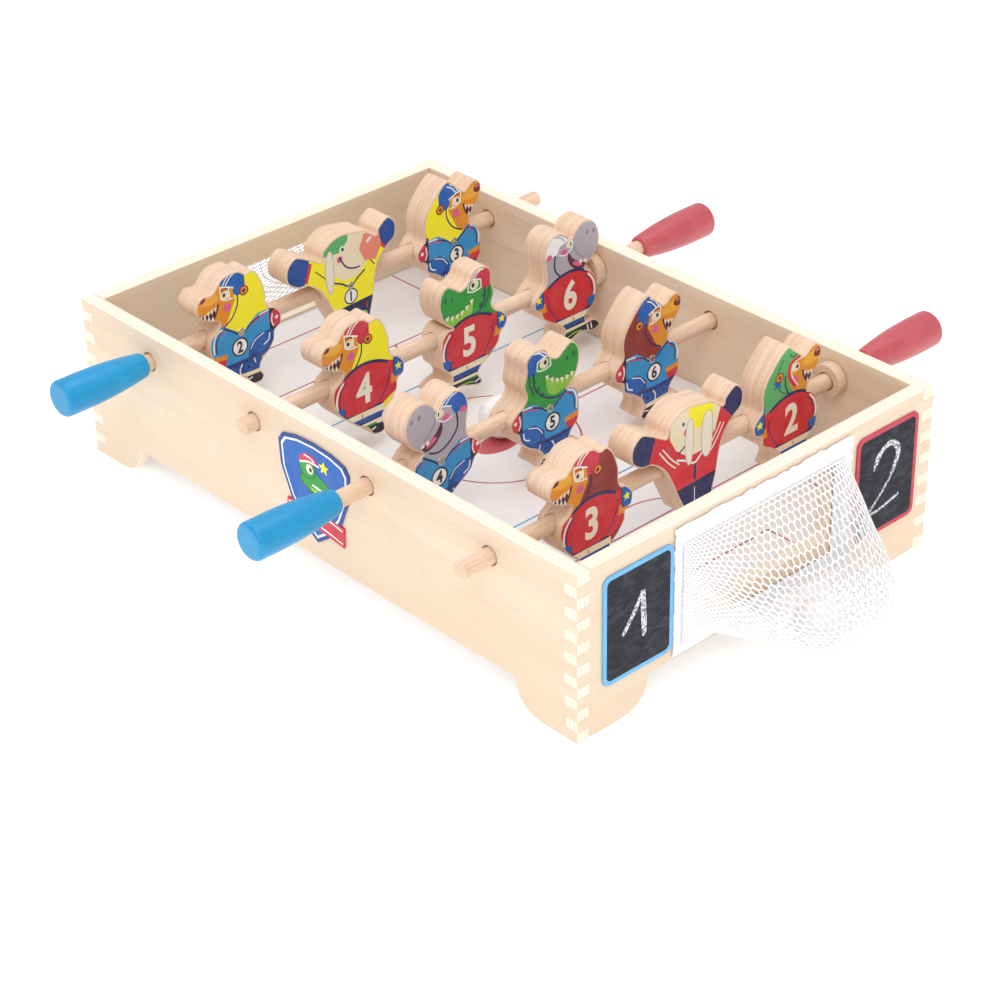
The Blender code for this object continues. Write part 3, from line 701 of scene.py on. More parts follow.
def grip(name, team, x, z):
    """Handle: flat fat end with a rounded rim, straight for a while, then a long taper."""
    low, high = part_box(name + "_handle")
    side = -1 if team == "blue" else 1
    length = high.y - low.y
    grip_r, neck_r, bore_r = (high.x - low.x) / 2, 7.4 * MM, 5.3 * MM
    edge = 2.6 * MM
    profile = [(0, 0), (0.6 * grip_r, 0)] + quarter_round(grip_r, edge, 8)
    straight = 0.2 * length
    for i in range(1, 21):
        t = i / 20
        y = straight + (length - 1.2 * MM - straight) * t
        profile.append((neck_r + (grip_r - neck_r) * (1 - t ** 2.1), y))
    profile += [(neck_r - 0.2 * MM, length - 0.75 * MM), (neck_r - 0.7 * MM, length - 0.25 * MM),
                (neck_r - 1.3 * MM, length),
                (bore_r, length), (bore_r, length - 35 * MM), (0, length - 35 * MM)]
    bm = turned(profile, 64)
    if side > 0:
        bmesh.ops.rotate(bm, verts=bm.verts, matrix=Matrix.Rotation(math.pi, 3, "Z"))
    move(bm, (x, high.y if side > 0 else low.y, z))
    finish = blue_lacquer if team == "blue" else red_lacquer
    show(name + "_handle_turned", bm, name + "_rod", [finish],
         [name + "_handle"])


def loose_ring(name, x, z):
    low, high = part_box(name + "_ring")
    outer, thick, edge = (high.x - low.x) / 2, high.y - low.y, 0.8 * MM
    inner = 5.6 * MM
    rim = quarter_round(outer, edge, 4)
    profile = [(inner, 0.3 * MM), (inner + 0.3 * MM, 0)] + rim
    profile += [(r, thick - y) for r, y in reversed(rim)]
    profile += [(inner + 0.3 * MM, thick), (inner, thick - 0.3 * MM)]
    bm = move(turned(profile, 56, closed=True), (x, low.y, z))
    show(name + "_ring_turned", bm, name + "_ring", [beech_rod], [name + "_ring"])


def cross_screw():
    """Countersunk cross-head screw about +Y, head up, its head's top at y = 0."""
    profile = [(0, 0), (1.9 * MM, 0), (2.45 * MM, -0.08 * MM), (2.6 * MM, -0.3 * MM),
               (2.55 * MM, -0.75 * MM), (1.1 * MM, -1.8 * MM), (1.1 * MM, -8.6 * MM),
               (0.6 * MM, -9.6 * MM), (0, -9.9 * MM)]
    bm = turned(profile, 28)
    arms = []
    for size in ((0.75, 1.8, 3.3), (3.3, 1.8, 0.75)):
        arm = bmesh.new()
        bmesh.ops.create_cube(arm, size=1)
        bmesh.ops.scale(arm, verts=arm.verts, vec=[s * MM for s in size])
        arms.append(arm)
    return carved(bm, arms)


screw_master = bpy.data.meshes.new("screw_master")
screw_shape = cross_screw()
screw_shape.to_mesh(screw_master)
screw_shape.free()


def screw(team, number, body, centre, face):
    """The screw stands just proud of the print, as a driven one does in soft wood."""
    bm = bmesh.new()
    bm.from_mesh(screw_master)
    bmesh.ops.rotate(bm, verts=bm.verts, matrix=Matrix.Rotation(-face * math.pi / 2, 3, "Z"))
    bmesh.ops.rotate(bm, verts=bm.verts, matrix=Matrix.Rotation(0.6 + number, 3, "X"))
    move(bm, centre + Vector((face * (PLAYER_THICKNESS / 2 + 0.34 * MM), 0, 0)))
    name = f"{team}_screw_{number}"
    show(name + "_cross_head", bm, body, [steel], [name], 30)


# ---------------------------------------------------------------- players

BEAR = [
    (-6, 41), (1, 40.5), (6, 37), (11, 37.5), (16, 32), (19.5, 22), (20, 13), (22, 9),
    (26, 7.5), (30.5, 2), (30, -5), (25.5, -8), (24.5, -14), (20, -20), (14, -25), (12.5, -30),
    (15, -35), (12, -38.5), (5, -37.5), (1, -32), (-6, -28), (-12, -23), (-20, -15), (-24, -5),
    (-22.5, 3), (-17, 7), (-15.5, 12), (-23, 15), (-30, 20), (-31.5, 27), (-27, 32.5),
    (-20, 32), (-16.5, 35), (-12, 39.5)]
BEAR_KICKING = [
    (-4, 43), (0, 40), (6, 35), (10, 32), (16, 36), (21, 36), (24, 31), (22, 23), (16, 16),
    (13, 9), (18, 6), (22, 0), (23, -9), (22, -17), (17, -22), (15, -27), (22, -30), (24.5, -35),
    (19, -36.5), (10, -33), (2, -35), (-6, -38.5), (-9, -36), (-6, -30), (-9, -24), (-15, -19),
    (-23, -14), (-24, -8), (-29.5, -5), (-31, 1), (-27, 6), (-24, 9), (-24.5, 18), (-22, 26),
    (-16, 34), (-10, 40)]
CROC = [
    (-8, 41), (-3, 39), (0, 34), (6, 31), (11, 34), (17, 37), (22, 33), (23.5, 25), (20, 14),
    (13, 8), (17, 8), (22, 3), (23, -8), (22, -16), (17, -21), (15, -27), (23, -29.5),
    (26, -34), (20, -36.5), (10, -33), (2, -35), (-6, -37), (-9, -35), (-6, -29), (-10, -24),
    (-17, -20), (-23, -14), (-25, -8), (-29, -5), (-30.5, 1), (-26, 6), (-21, 9), (-18, 14),
    (-20, 21), (-18, 29), (-18, 36), (-14, 40)]
HIPPO = [
    (-10, 40.5), (-3, 38), (2, 33), (5, 37), (11, 41), (19, 40), (24.5, 33), (25, 23),
    (20, 15), (13, 10), (18, 6), (22.5, 0), (23, -10), (21.5, -17), (15, -22), (14, -27),
    (22, -29), (26, -34), (20, -36.5), (10, -34), (2, -36), (-4, -38), (-6, -34), (-4, -28),
    (-9, -23), (-15, -19), (-22, -14), (-25, -8), (-29, -5), (-29.5, 0), (-25, 5), (-20, 9),
    (-19.5, 18), (-21, 27), (-19, 35), (-15, 39)]
KEEPER = [
    (-5, 36.5), (4, 35), (13, 33), (22, 27), (24, 31), (32, 36), (38, 30), (37, 21), (30, 16),
    (23, 8), (20, -2), (18, -14), (15, -26), (16, -33), (13, -37), (4, -36), (-4, -34),
    (-8, -27), (-13, -17), (-18, -6), (-24, 4), (-33, 11), (-42, 13), (-49, 19), (-48.5, 28),
    (-42, 33.5), (-35, 31), (-28, 27), (-22, 24), (-20, 30), (-13, 35)]
EVERYWHERE = [(-60, -50), (60, -50), (60, 50), (-60, 50)]


def front_kit(team, number):
    """Jersey front with a small number, mitt on the left, trousers and boots."""
    jersey = "jersey_" + team
    cuff = "helmet_red" if team == "blue" else "royal"
    return [
        (jersey, [(-26, 8), (-13, 8), (0, -1), (3, -19), (-14, -19), (-26, 0)]),
        (jersey, [(0, -1), (13, 8.5), (20, 8), (26, 0), (25, -13), (18, -19), (-1, -19)]),
        ("white", [(-22, 7), (-15, 6.6), (-8, 3.6), (-3, 0.6)], 0.9),
        (cuff, [(-21, 5.4), (-15, 5), (-9, 2.4)], 0.8),
        ("white", [(14, 6.6), (18.5, 4.6), (21, -1), (21, -8)], 1.1),
        ("navy", [(12.5, 5.6), (16.6, 3.6), (19, -1), (19.2, -8)], 0.8),
        (cuff, [(7, 3.4), (12, 5.6), (17, 2.4)], 0.7),
        ("orange", [(11, -11), (26, -9), (26, -14), (13, -15)]),
        (cuff, [(12, -14), (26, -12.5), (24, -22), (14, -20)]),
        ("deep_blue", [(-30, -6), (-12, -6), (-5, -12), (-4, -19), (-14, -22), (-28, -16)]),
        ("royal", ellipse(-15, -12.5, 7.6, 5, -28)),
        ("white", [(-21, -8), (-20, -12.5), (-16, -14.6)], 0.9),
        ("white", [(-17, -6.6), (-10, -9), (-6, -14)], 0.6),
        ("black", [(-36, 10), (-21.6, 10), (-21.6, -7), (-36, -7)]),
        (cuff, inset_outline(ellipse(-26.2, 0.4, 4.6, 6.4), 0.5)),
        ("white", [(-24, 4), (-23.2, -1), (-24.5, -5)], 0.8), ("white", star(-27, 0.4, 1.8)),
        ("deep_blue", [(-14, -18.6), (20, -18.6), (19, -31), (-14, -31)]),
        ("navy", [(-11, -19), (0, -20.6), (10, -20), (18, -18.4)], 1.2),
        ("cream", [(-12, -29), (28, -27), (30, -31.2), (-12, -32)]),
        ("black", [(-14, -31.6), (30, -30.4), (32, -42), (-14, -42)]),
        ("royal", ellipse(-3.5, -25, 2.6, 2.6)), ("navy", ellipse(-3.5, -25, 1.3, 1.3)),
        ("royal", ellipse(10, -24.6, 2.6, 2.6)), ("navy", ellipse(10, -24.6, 1.3, 1.3)),
        ("white", [(1, -21.5), (3, -25), (2.6, -29)], 0.9), ("white",
                                                             [(-8, -20.6), (-9, -24)], 0.7),
        ("white", [(14, -31.5), (14.8, -34.5)], 0.9), ("white", [(17, -31.6), (17.8, -34.8)], 0.9),
        ("white", [(-6, -33), (-2.5, -33.6)], 0.8),
        ("navy", [(-14, 6), (-7, 3), (0, -1.6), (7, 3), (13, 7)], 1.1),
        ("black", ellipse(1.8, -9.4, 6.2, 6.2, 0, 30)),
        ("white", ellipse(1.8, -9.4, 5.1, 5.1, 0, 30)),
        ("black", str(number), 1.8, -9.4, 7.6),
    ]


def back_kit(team, number):
    """Jersey back with a big number, sleeve stripes on the right, shorts and boots."""
    jersey = "jersey_" + team
    glove = "royal" if team == "red" else "helmet_red"
    dark = "navy"
    return [
        (jersey, [(-26, 4), (-15, 9), (-5, 12), (5, 11.6), (14, 8.4), (25, 2), (26, -12), (20, -20),
                  (-12, -20), (-28, -12)]),
        (dark, [(-18, 6.4), (-10, 10), (0, 11.6), (9, 10), (15, 6.6)], 1.9),
        ("white", [(15.6, 5), (20, -0.6), (21.4, -8), (20, -14)], 1.3),
        (dark, [(13.2, 4.6), (17.8, -0.8), (19.4, -8), (18, -15)], 0.8),
        (dark, [(-19.5, 2), (-17, -8), (-11.6, -16.5)], 0.7),
        ("royal", [(15.5, -12), (26, -11), (26, -22), (17, -22)]),
        (dark, [(15.4, -13), (16.4, -19)], 0.8),
        ("orange", [(-28, -3), (-20.6, -3), (-19.6, -9), (-28, -9)]),
        (glove, [(-36, 12), (-22.4, 12), (-22.4, -5.4), (-36, -5.4)]),
        (dark, [(-22.6, 6), (-22.2, 0), (-22.8, -5)], 0.7), ("mane_yellow", star(-26, 0.8, 3.0)),
        (dark, [(-12, -18.6), (0, -20), (10, -19.8), (19, -18)], 1.6),
        ("cream", [(-14, -19.6), (20, -19.6), (20, -31.8), (-14, -31.8)]),
        ("deep_blue", [(-13, -23.6), (19, -23.6), (19, -27.8), (-13, -27.8)]),
        (dark, [(-13, -26.6), (19, -26.6), (19, -27.8), (-13, -27.8)]),
        ("helmet_red", [(3, -20.8), (3, -23.2)], 0.8),
        ("green", [(-7, -29.6), (15, -29.6), (18, -31.8), (-9, -31.8)]),
        ("black", [(-14, -31.6), (30, -28.4), (32, -42), (-14, -42)]),
        ("white", [(15, -30.4), (16, -34.6)], 1.0), ("white", [(18, -30.2), (19, -34.4)], 1.0),
        ("white", [(-7, -33), (-3, -34)], 1.0), ("lime", [(-2, -33.4), (4, -32.2),
                                                          (10, -32.6)], 0.9),
        ("bone", str(number), 0.6, -4.6, 19),
    ]


def bear_head(team, mane, hood, at):
    """Grinning bear in a helmet or a hood, looking to the right; its eye is at this place."""
    eu, ev = at
    helmet = {"blue": "royal", "red": "helmet_red"}[team]

    def spot(points):
        return [(eu + u, ev + v) for u, v in points]

    mane_ink = "cap_green" if hood else mane
    art = [(mane_ink, EVERYWHERE)]
    art += [
        ("orange", spot([(-6, -5), (-4, 6), (6, 8.4), (24, 11), (27, -3), (18, -19), (10, -24),
                         (2, -20)])),
        ("amber", spot(ellipse(14, 1.6, 8, 3.8, 8))),
        ("nose_brown", spot(ellipse(19.4, 3.6, 3.9, 2.9, 12))),
        ("coral", spot(ellipse(18.6, 4.9, 1.5, 0.7, 12))),
        ("mouth", soft_loop(spot([(6, -3), (11, -7.4), (16, -7.6), (20.4, -6.4), (19.4, -10.6),
          (15.6, -14), (11, -13.4), (7.6, -9)]), 3)),
    ]
    for i in range(5):
        u = 7.6 + 2.7 * i
        v = -4.4 - 0.55 * i if i < 3 else -6.6 + 0.3 * (i - 3)
        art.append(("bone", spot([(u, v - 0.2), (u + 2.3, v - 1.2), (u + 1.0, v - 4.0)])))
    for i in range(3):
        u, v = 10 + 2.8 * i, -12.4 + 0.9 * i
        art.append(("bone", spot([(u, v - 1.0), (u + 2.3, v - 0.2), (u + 1.1, v + 2.6)])))
    art += [
        ("pink", spot(ellipse(0.2, -8, 2.9, 2.8))), ("cream", spot(ellipse(0.6, 0.4, 3.3, 2.7))),
        ("black", spot(ellipse(1.8, 0.6, 1.1, 1.3))),
        ("nose_brown", spot([(-2, 3.6), (1, 4.6), (4, 4)]), 0.9),
    ]
    if hood:
        art += [
            ("helmet_red", spot([(4, 6.6), (-4, 4), (-4.6, -4), (1, -12)]), 2.2),
            ("white", spot([(6.4, 5), (-1.4, 3.4), (-2.4, -4), (3, -12)]), 0.8),
            ("dark_green", spot([(-10, 9), (-15, 0), (-12, -10), (-4, -15)]), 0.7),
            ("dark_green", spot([(-5, 11), (-2, 8), (2, 9.4)]), 0.8),
            ("royal", spot(star(-14, -4.5, 4.6))),
        ]
    else:
        art += [
            (helmet, spot([(-14, 1), (-14, 9), (-9, 15), (-2, 16.4), (4, 12), (4.4, 6.6),
                           (-6, 3.4)])),
            (helmet, spot(ellipse(-8.6, 1.4, 3.8, 4.4))),
            ("white", spot([(-7, 12.6), (-3, 10.4), (0.4, 6.4)]), 0.8),
            ("white", spot([(-4.4, 13.4), (-0.6, 11), (2.4, 7)]), 0.8),
            ("white", spot([(-5.4, 3.2), (0, 5.4), (4.6, 6.8)]), 1.0),
            ("white", spot([(-5, -3.4), (0, -3.2), (4, -1.6)]), 0.8),
            ("white", spot([(-1.8, 4.6), (-2.2, -3.2)]), 0.7),
            ("white", spot([(4.6, 6.4), (4.2, -1.6)]), 0.8),
        ]
    art += [
        ("nose_brown", spot(ellipse(-13, -1.4, 3.4, 3.2))),
        ("orange", spot(ellipse(-13, -1.2, 2.6, 2.4))),
        ("nose_brown", spot(ellipse(-12.8, -1.4, 1.3, 1.2))),
        ("navy", spot([(-8, -1.6), (-7.4, -9), (-2.6, -16.6), (5, -21)]), 0.9),
    ]
    return art


def croc_head(team):
    """Crocodile in a helmet, looking to the right."""
    helmet = {"blue": "royal", "red": "helmet_red"}[team]
    art = [
        ("green", EVERYWHERE),
        ("lime", soft_loop([(-3, 21), (4, 17.2), (12, 15.8), (19.6, 17), (18.6, 13), (13, 9.6),
                            (5, 7.6),
                            (-1, 10.6)], 3)),
        ("dark_green", [(-4, 23.4), (3, 18.4), (11, 16.2), (20, 17.6)], 0.9),
        ("dark_green", [(-16, 27), (-15.4, 20), (-12, 13)], 1.6),
        ("dark_green", ellipse(-9, 16, 1.5, 1.5)), ("dark_green", ellipse(-5.6, 11.4, 1.4, 1.4)),
        ("dark_green", ellipse(-11.4, 21.6, 1.2, 1.2)),
        ("dark_green", ellipse(18.6, 28.6, 1.3, 1.8, 14)),
        ("dark_green", ellipse(13.6, 27.4, 1.2, 1.6, 14)),
    ]
    for i in range(6):
        u = -3.6 + 3.9 * i
        v = (21.6, 18.8, 16.9, 16, 16, 16.8)[i]
        art.append(("bone", [(u, v + 1), (u + 3, v + 0.3), (u + 1.6, v - 3)]))
    art += [
        ("cream", ellipse(-4.4, 31, 3.4, 3.2)), ("black", ellipse(-3.4, 31.2, 1.2, 1.5)),
        (helmet, [(-20, 28), (-20, 36), (-16, 42), (-4, 42), (0, 38), (-1, 34.6), (-9, 33.4),
                  (-11.4, 25.4)]),
        ("white", [(-12.4, 39.4), (-8, 38.6), (-3.6, 35)], 0.9),
        ("white", [(-10, 40), (-5.6, 38.8), (-1.8, 35.6)], 0.8),
        ("white", [(-9.6, 33), (-4, 34.8), (0, 34.8)], 1.0),
        ("white", [(-9.6, 27.6), (-4, 26.8), (1, 28)], 0.9), ("white",
                                                              [(-9.6, 33), (-9.8, 27.6)], 0.8),
        ("white", [(0, 34.6), (0.8, 28)], 0.9),
        ("navy", [(-12.6, 27), (-11.6, 17), (-4, 9), (5, 5.6), (13, 6.6)], 1.1),
    ]
    return art


def hippo_head(team):
    """Hippopotamus in a helmet, looking to the right with its mouth open."""
    helmet = {"blue": "royal", "red": "white"}[team]
    trim = {"blue": "white", "red": "grey"}[team]
    return [
        ("grey", EVERYWHERE), ("grey_dark", [(4, 35), (3.6, 28), (7, 21.6), (12, 17.4)], 0.8),
        ("mouth", soft_loop([(-1, 25), (2.6, 20), (8, 16), (13.4, 14.4), (12.6, 10.8), (7.6, 10.6),
                             (2, 14), (-1.4, 19.6)], 3)),
        ("pink", soft_loop([(2.6, 16), (7, 12.8), (11, 12.4), (9, 15), (5, 17.2)], 3)),
        ("bone", ellipse(9.6, 15.4, 1.5, 1.3)), ("bone", ellipse(13.2, 14.6, 1.4, 1.2)),
        ("grey_dark", ellipse(20.6, 32.6, 1.3, 1.8, 20)),
        ("grey_dark", ellipse(15, 33.4, 1.2, 1.7, 20)),
        ("pink", ellipse(-4.6, 26, 2.6, 2.3)), ("cream", ellipse(0.4, 30.2, 3.2, 2.7)),
        ("black", ellipse(1.6, 30.2, 1.1, 1.4)),
        (helmet, [(-22, 26.4), (-22, 36), (-16, 42), (-4, 41.6), (1.6, 36.6), (1, 33.6), (-8, 31.4),
                  (-10.6, 26.4)]),
        (trim, [(-13, 39), (-8, 37.4), (-4, 33.6)], 0.8),
        (trim, [(-10, 39.6), (-5.6, 37.8), (-1, 34.2)], 0.8),
        ("white", [(-8.6, 31.6), (-3, 33.4), (1.4, 33.6)], 1.0),
        ("white", [(-9, 25.6), (-3.4, 24), (2, 26.6)], 0.8), ("white",
                                                              [(1.4, 33.6), (2.6, 26.8)], 0.8),
        ("pink", ellipse(-17, 26.6, 2.3, 2.0)),
        ("navy", [(-12, 26.4), (-12.4, 17), (-6, 9.6), (2, 6.6), (9, 8.6)], 1.2),
    ]


def keeper_art(team, number, back):
    """Goalkeeper with both mitts up and a long-eared cream head."""
    jersey, trim = {"blue": ("jersey_yellow", "navy"), "red": ("jersey_red", "white")}[team]
    mitt = {"blue": "deep_blue", "red": "navy"}[team]
    cap = {"blue": "cap_green", "red": "mane_yellow"}[team]
    face = -1 if back else 1
    art = [(jersey, EVERYWHERE)]
    art += [
        (mitt, [(-60, 40), (-34, 40), (-31, 24), (-37, 10), (-60, 10)]),
        ("deep_blue" if team == "blue" else "navy", [(60, 42), (22, 42), (21.6, 26), (29, 15),
                                                     (60, 15)]),
        ("helmet_red", [(-30.4, 25.6), (-34.6, 13.4)], 2.4),
        ("helmet_red", [(22.6, 23.4), (28.4, 16.6)], 2.2),
        ("cream", [(-19, 34), (-14, 40), (14, 40), (20, 27), (16, 14), (6, 5), (-5, 5), (-15, 13),
          (-20, 22)]),
        (trim, [(-14, 6.4), (-7, 3.4), (0, -0.6), (6, 3.4), (12, 7)], 1.2),
    ]
    if back:
        art += [
            ("bone", [(-28, 17), (-21, 8), (-15, 2)], 0.9),
            ("bone", [(-25.4, 18), (-18, 8.6), (-12, 3)], 0.9),
            ("bone", [(23, 16), (18, 8), (13, 2)], 0.9), ("bone",
                                                          [(20.4, 17), (15, 9), (11, 4)], 0.9),
        ]
    else:
        art += [
            ("black", [(-27, 19), (-21, 13), (-17, 9)], 0.7),
            ("black", [(16, 14), (18, 10), (20, 8)], 0.7),
        ]
    snout = [(12, 31), (24, 31), (26, 20), (21, 11), (12, 13), (8, 22)]
    if not back:
        art += [
            ("coral", snout), ("bone", ellipse(16, 26, 2.6, 1.2, 30)),
        ]
    else:
        art.append(("bone", ellipse(-12, 29, 3, 1.4, 30)))
    art.append((cap, [(face * u, v) for u, v in
                      [(-20, 26), (-19, 38), (-8, 41), (0, 39), (-1, 31), (-8, 25)]]
                if not back else [(-4, 24), (-6, 40), (6, 42), (14, 36), (15, 24), (4, 20)]))
    eye = (-5.4, 26.4) if not back else (-9, 27.4)
    art += [
        ("bone", ellipse(eye[0], eye[1], 2.2, 2.5)),
        ("black", ellipse(eye[0] + 0.4 * face, eye[1], 1.0, 1.3)),
        ("pink", ellipse(eye[0] - 2.2 * face, eye[1] - 6, 2.3, 2.2)),
    ]
    mouth = ([(-5, 21), (-7, 14), (-13, 10)] if back
             else [(-8, 22), (-3, 14), (3, 11), (8, 10.6)])
    art.append(("navy", mouth, 1.1))
    for start in ((-17.4, -15.4), (2, 4)) if not back else ((-6, -4), (7, 11)):
        a, b = start
        ear = [(a, 26), (b + 1.6, 27), (b + 2.6, 10), (b + 0.6, 0.6), (a + 0.4, 1.4), (a - 1.6, 12)]
        if back or a < 0:
            art += [
                ("grey", inset_outline(soft_loop(ear, 3), -0.5)), ("bone", soft_loop(ear, 3)),
            ]
    art += [
        ("navy", [(-24, -14), (24, -12), (24, -29.4), (-24, -29.4)]),
        ("black", [(-14, -14.4), (0, -15.8), (17, -13)], 1.1),
    ]
    if not back:
        for u in (-3.6, 9.4):
            art += [
                ("lime", ellipse(u, -24, 3.3, 3.3)), ("green", ellipse(u, -24, 1.5, 1.5)),
            ]
        art += [
            ("helmet_red", [(-8, -17), (-5.6, -21)], 0.9),
            ("helmet_red", [(12, -15.4), (12.6, -20)], 0.9), ("white",
                                                              [(2.6, -17.6), (3, -23)], 0.9),
            ("black", ellipse(0, -7.4, 5.4, 5.4, 0, 30)),
            ("white", ellipse(0, -7.4, 4.5, 4.5, 0, 30)),
            ("black", str(number), 0, -7.4, 6.6),
        ]
    else:
        art += [
            ("navy", str(number), 0.6, -6.6, 10), ("white", [(0.6, -16.4), (0.8, -27)], 0.5),
        ]
    art += [
        ("black", [(-24, -28.6), (24, -28.6), (24, -42), (-24, -42)]),
        ("white", [(-6, -30.4), (-1, -30.6)], 1.0), ("white", [(8, -31), (14, -30.6)], 1.0),
        ("white", [(5, -34), (11, -35)], 0.9),
    ]
    return art


def turned_over(art):
    """The same drawing reversed left to right; figures stay readable."""
    made = []
    for colour, *what in art:
        if isinstance(what[0], str):
            made.append((colour, what[0], -what[1], *what[2:]))
        else:
            made.append((colour, [(-u, v) for u, v in what[0]], *what[1:]))
    return made


def player_art(kind, team, number, back):
    if kind == "keeper":
        return keeper_art(team, number, back)
    kit = back_kit(team, number) if back else front_kit(team, number)
    mane = "mane_brown" if (team, number) in (("blue", 6), ("red", 3)) else "mane_yellow"
    hood = (team, number) == ("red", 2)
    head = {"bear": lambda: bear_head(team, mane, hood, (9, 28)),
            "kicking_bear": lambda: bear_head(team, mane, hood, (2, 27)),
            "croc": lambda: croc_head(team), "hippo": lambda: hippo_head(team)}[kind]()
    return head + kit


PLAYERS = {
    "blue_keeper": [(2, "bear"), (1, "keeper"), (3, "kicking_bear")],
    "red_attack": [(4, "bear"), (5, "croc"), (6, "hippo")],
    "blue_attack": [(4, "hippo"), (5, "croc"), (6, "kicking_bear")],
    "red_keeper": [(3, "bear"), (1, "keeper"), (2, "kicking_bear")],
}
OUTLINES = {"bear": BEAR, "kicking_bear": BEAR_KICKING, "croc": CROC, "hippo": HIPPO,
            "keeper": KEEPER}
REVERSED = {("red", 5), ("blue", 4)}   # cut from the same outline, turned over


def player(rod, team, number, kind, x, z):
    """Sawn board figure with eased edges and a bore for the rod, printed on both faces."""
    label = f"{team}_player_{number}"
    flip = -1 if (team, number) in REVERSED else 1
    outline = [(flip * u, v) for u, v in soft_loop(OUTLINES[kind])]
    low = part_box(label)[0]
    centre = Vector((x, low.y - min(u for u, v in outline) * MM, z))
    half = PLAYER_THICKNESS / 2
    flat = flat_face(outline)
    bmesh.ops.transform(flat, verts=flat.verts,
                        matrix=facing((-half, 0, 0), (0, 1, 0), (0, 0, 1), (1, 0, 0)))
    raised(flat, (2 * half, 0, 0))
    rims = [e for e in flat.edges if abs(e.verts[0].co.x - e.verts[1].co.x) < 0.01 * MM]
    eased(flat, rims, 0.6, 2)
    bore = turned([(0, -80 * MM), (5.3 * MM, -80 * MM), (5.3 * MM, 80 * MM), (0, 80 * MM)], 40)
    body = move(carved(flat, [bore]), centre)
    show(label + "_cutout", body, rod + "_rod", [beech_player], [label], 40)
    border = inset_outline(outline, WOOD_BORDER / MM)
    for way in (1, -1):
        back = (team == "red") == (way == 1)
        art = player_art(kind, team, number, back)
        turn = kind == "bear" or (team, number) in REVERSED
        if turn:
            art = turned_over(art)
        face = facing(centre + Vector((way * half, 0, 0)), (0, 1, 0), (0, 0, 1), (way, 0, 0))
        bm = layered(art, border, face, ink_names, mirror=way < 0)
        show(f"{label}_{'back' if back else 'front'}_print", bm, rod + "_rod",
             ink_finishes)
    screw(team, number, rod + "_rod", centre, 1 if team == "blue" else -1)


for rod, figures in PLAYERS.items():
    team = rod.split("_")[0]
    rod_x, rod_z = dowel(rod)
    grip(rod, team, rod_x, rod_z)
    loose_ring(rod, rod_x, rod_z)
    for number, kind in figures:
        player(rod, team, number, kind, rod_x, rod_z)


# ---------------------------------------------------------------- nets

CELL = 3.9                          # mm before it is hung, between the net's openings
THREAD = 1.12 * MM
NET_FULL_AT = 0.23                  # where across it the pocket hangs fullest, from -1 to 1
NET_FLARE = 15.0                    # mm that its full side bellies past its seam
NET_DEPTH = 50.0                    # mm
WINDOW = (56.0, 31.0, 88.8)         # half width, lower and upper edge of the goal's window, mm
BAND = (14.0, 13.0, 9.0)            # binding beside, above and below it


def net_section(t):
    """Depth and height of the pocket's middle section; t runs from the upper seam to the lower."""
    points = [(0, 90.8), (10, 79.1), (24, 60), (37.5, 40.8), (47, 25.7), (50, 17.5), (46.5, 10.9),
              (38.5, 7.5), (27.5, 7.5), (18, 9.5), (8, 17.3), (0, 27)]
    place = t * (len(points) - 1)
    i = min(int(place), len(points) - 2)
    near = [Vector(points[max(0, min(len(points) - 1, i + k))]) for k in (-1, 0, 1, 2)]
    return between(*near, place - i)


def net_spot(s, t, half):
    """Place on the pocket for s across, from -1 to 1, and t down its section."""
    u = math.sin(math.pi / 2 * s) if abs(s) < 1 else math.copysign(1, s)
    u = 0.35 * s + 0.65 * u
    past = (u - NET_FULL_AT) / (1 - NET_FULL_AT)
    if past < 0:
        full = max(0.0, math.sin(math.pi / 2 * (1 + u) / (1 + NET_FULL_AT))) ** 1.25
    else:
        full = max(0.0, 1 - past ** 4) ** 0.5
    depth, height = net_section(t)
    edge = 90.8 + (27 - 90.8) * t
    belly = NET_FLARE * full * max(0, past) * depth / NET_DEPTH
    return full * depth, half * u + belly, edge + full * (height - edge)


def net(name, sign):
    """Pocket of hexagonal netting: cells welded side by side, hung as a pocket, then each side
    of each cell is made a thread."""
    low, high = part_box(name)
    start = min(abs(low.x), abs(high.x))
    half = 65.0
    columns, rows = 38, 43
    bm = bmesh.new()
    size = CELL / math.sqrt(3)
    for row in range(rows):
        for column in range(columns):
            cu = (column - (columns - 1) / 2 + (0.5 if row % 2 else 0)) * CELL
            cv = (row - (rows - 1) / 2) * size * 1.5
            bmesh.ops.create_circle(bm, cap_ends=True, segments=6, radius=size,
                                    matrix=Matrix.Translation((cu, cv, 0)))
    bmesh.ops.remove_doubles(bm, verts=bm.verts, dist=0.3)
    span_u = max(abs(v.co.x) for v in bm.verts)
    span_v = max(abs(v.co.y) for v in bm.verts)
    for vert in bm.verts:
        s, t = vert.co.x / span_u, 0.5 - vert.co.y / span_v / 2
        depth, across, height = net_spot(s, t, half)
        sway = noise.noise_vector(Vector((across, height, depth)) / 17 + Vector((sign * 3, 0, 0)))
        hold = min(1, depth / 12)
        vert.co = (sign * (start + (0.7 + depth + 0.8 * hold * sway.x) * MM),
                   sign * (across + 1.0 * hold * sway.y) * MM,
                   (height + 0.8 * hold * max(-0.2, sway.z)) * MM)
    bmesh.ops.wireframe(bm, faces=bm.faces[:], thickness=THREAD, offset=0, use_replace=True,
                        use_boundary=True, use_even_offset=False)
    return show(name + "_mesh", bm, "root", [yarn], [name], 80)


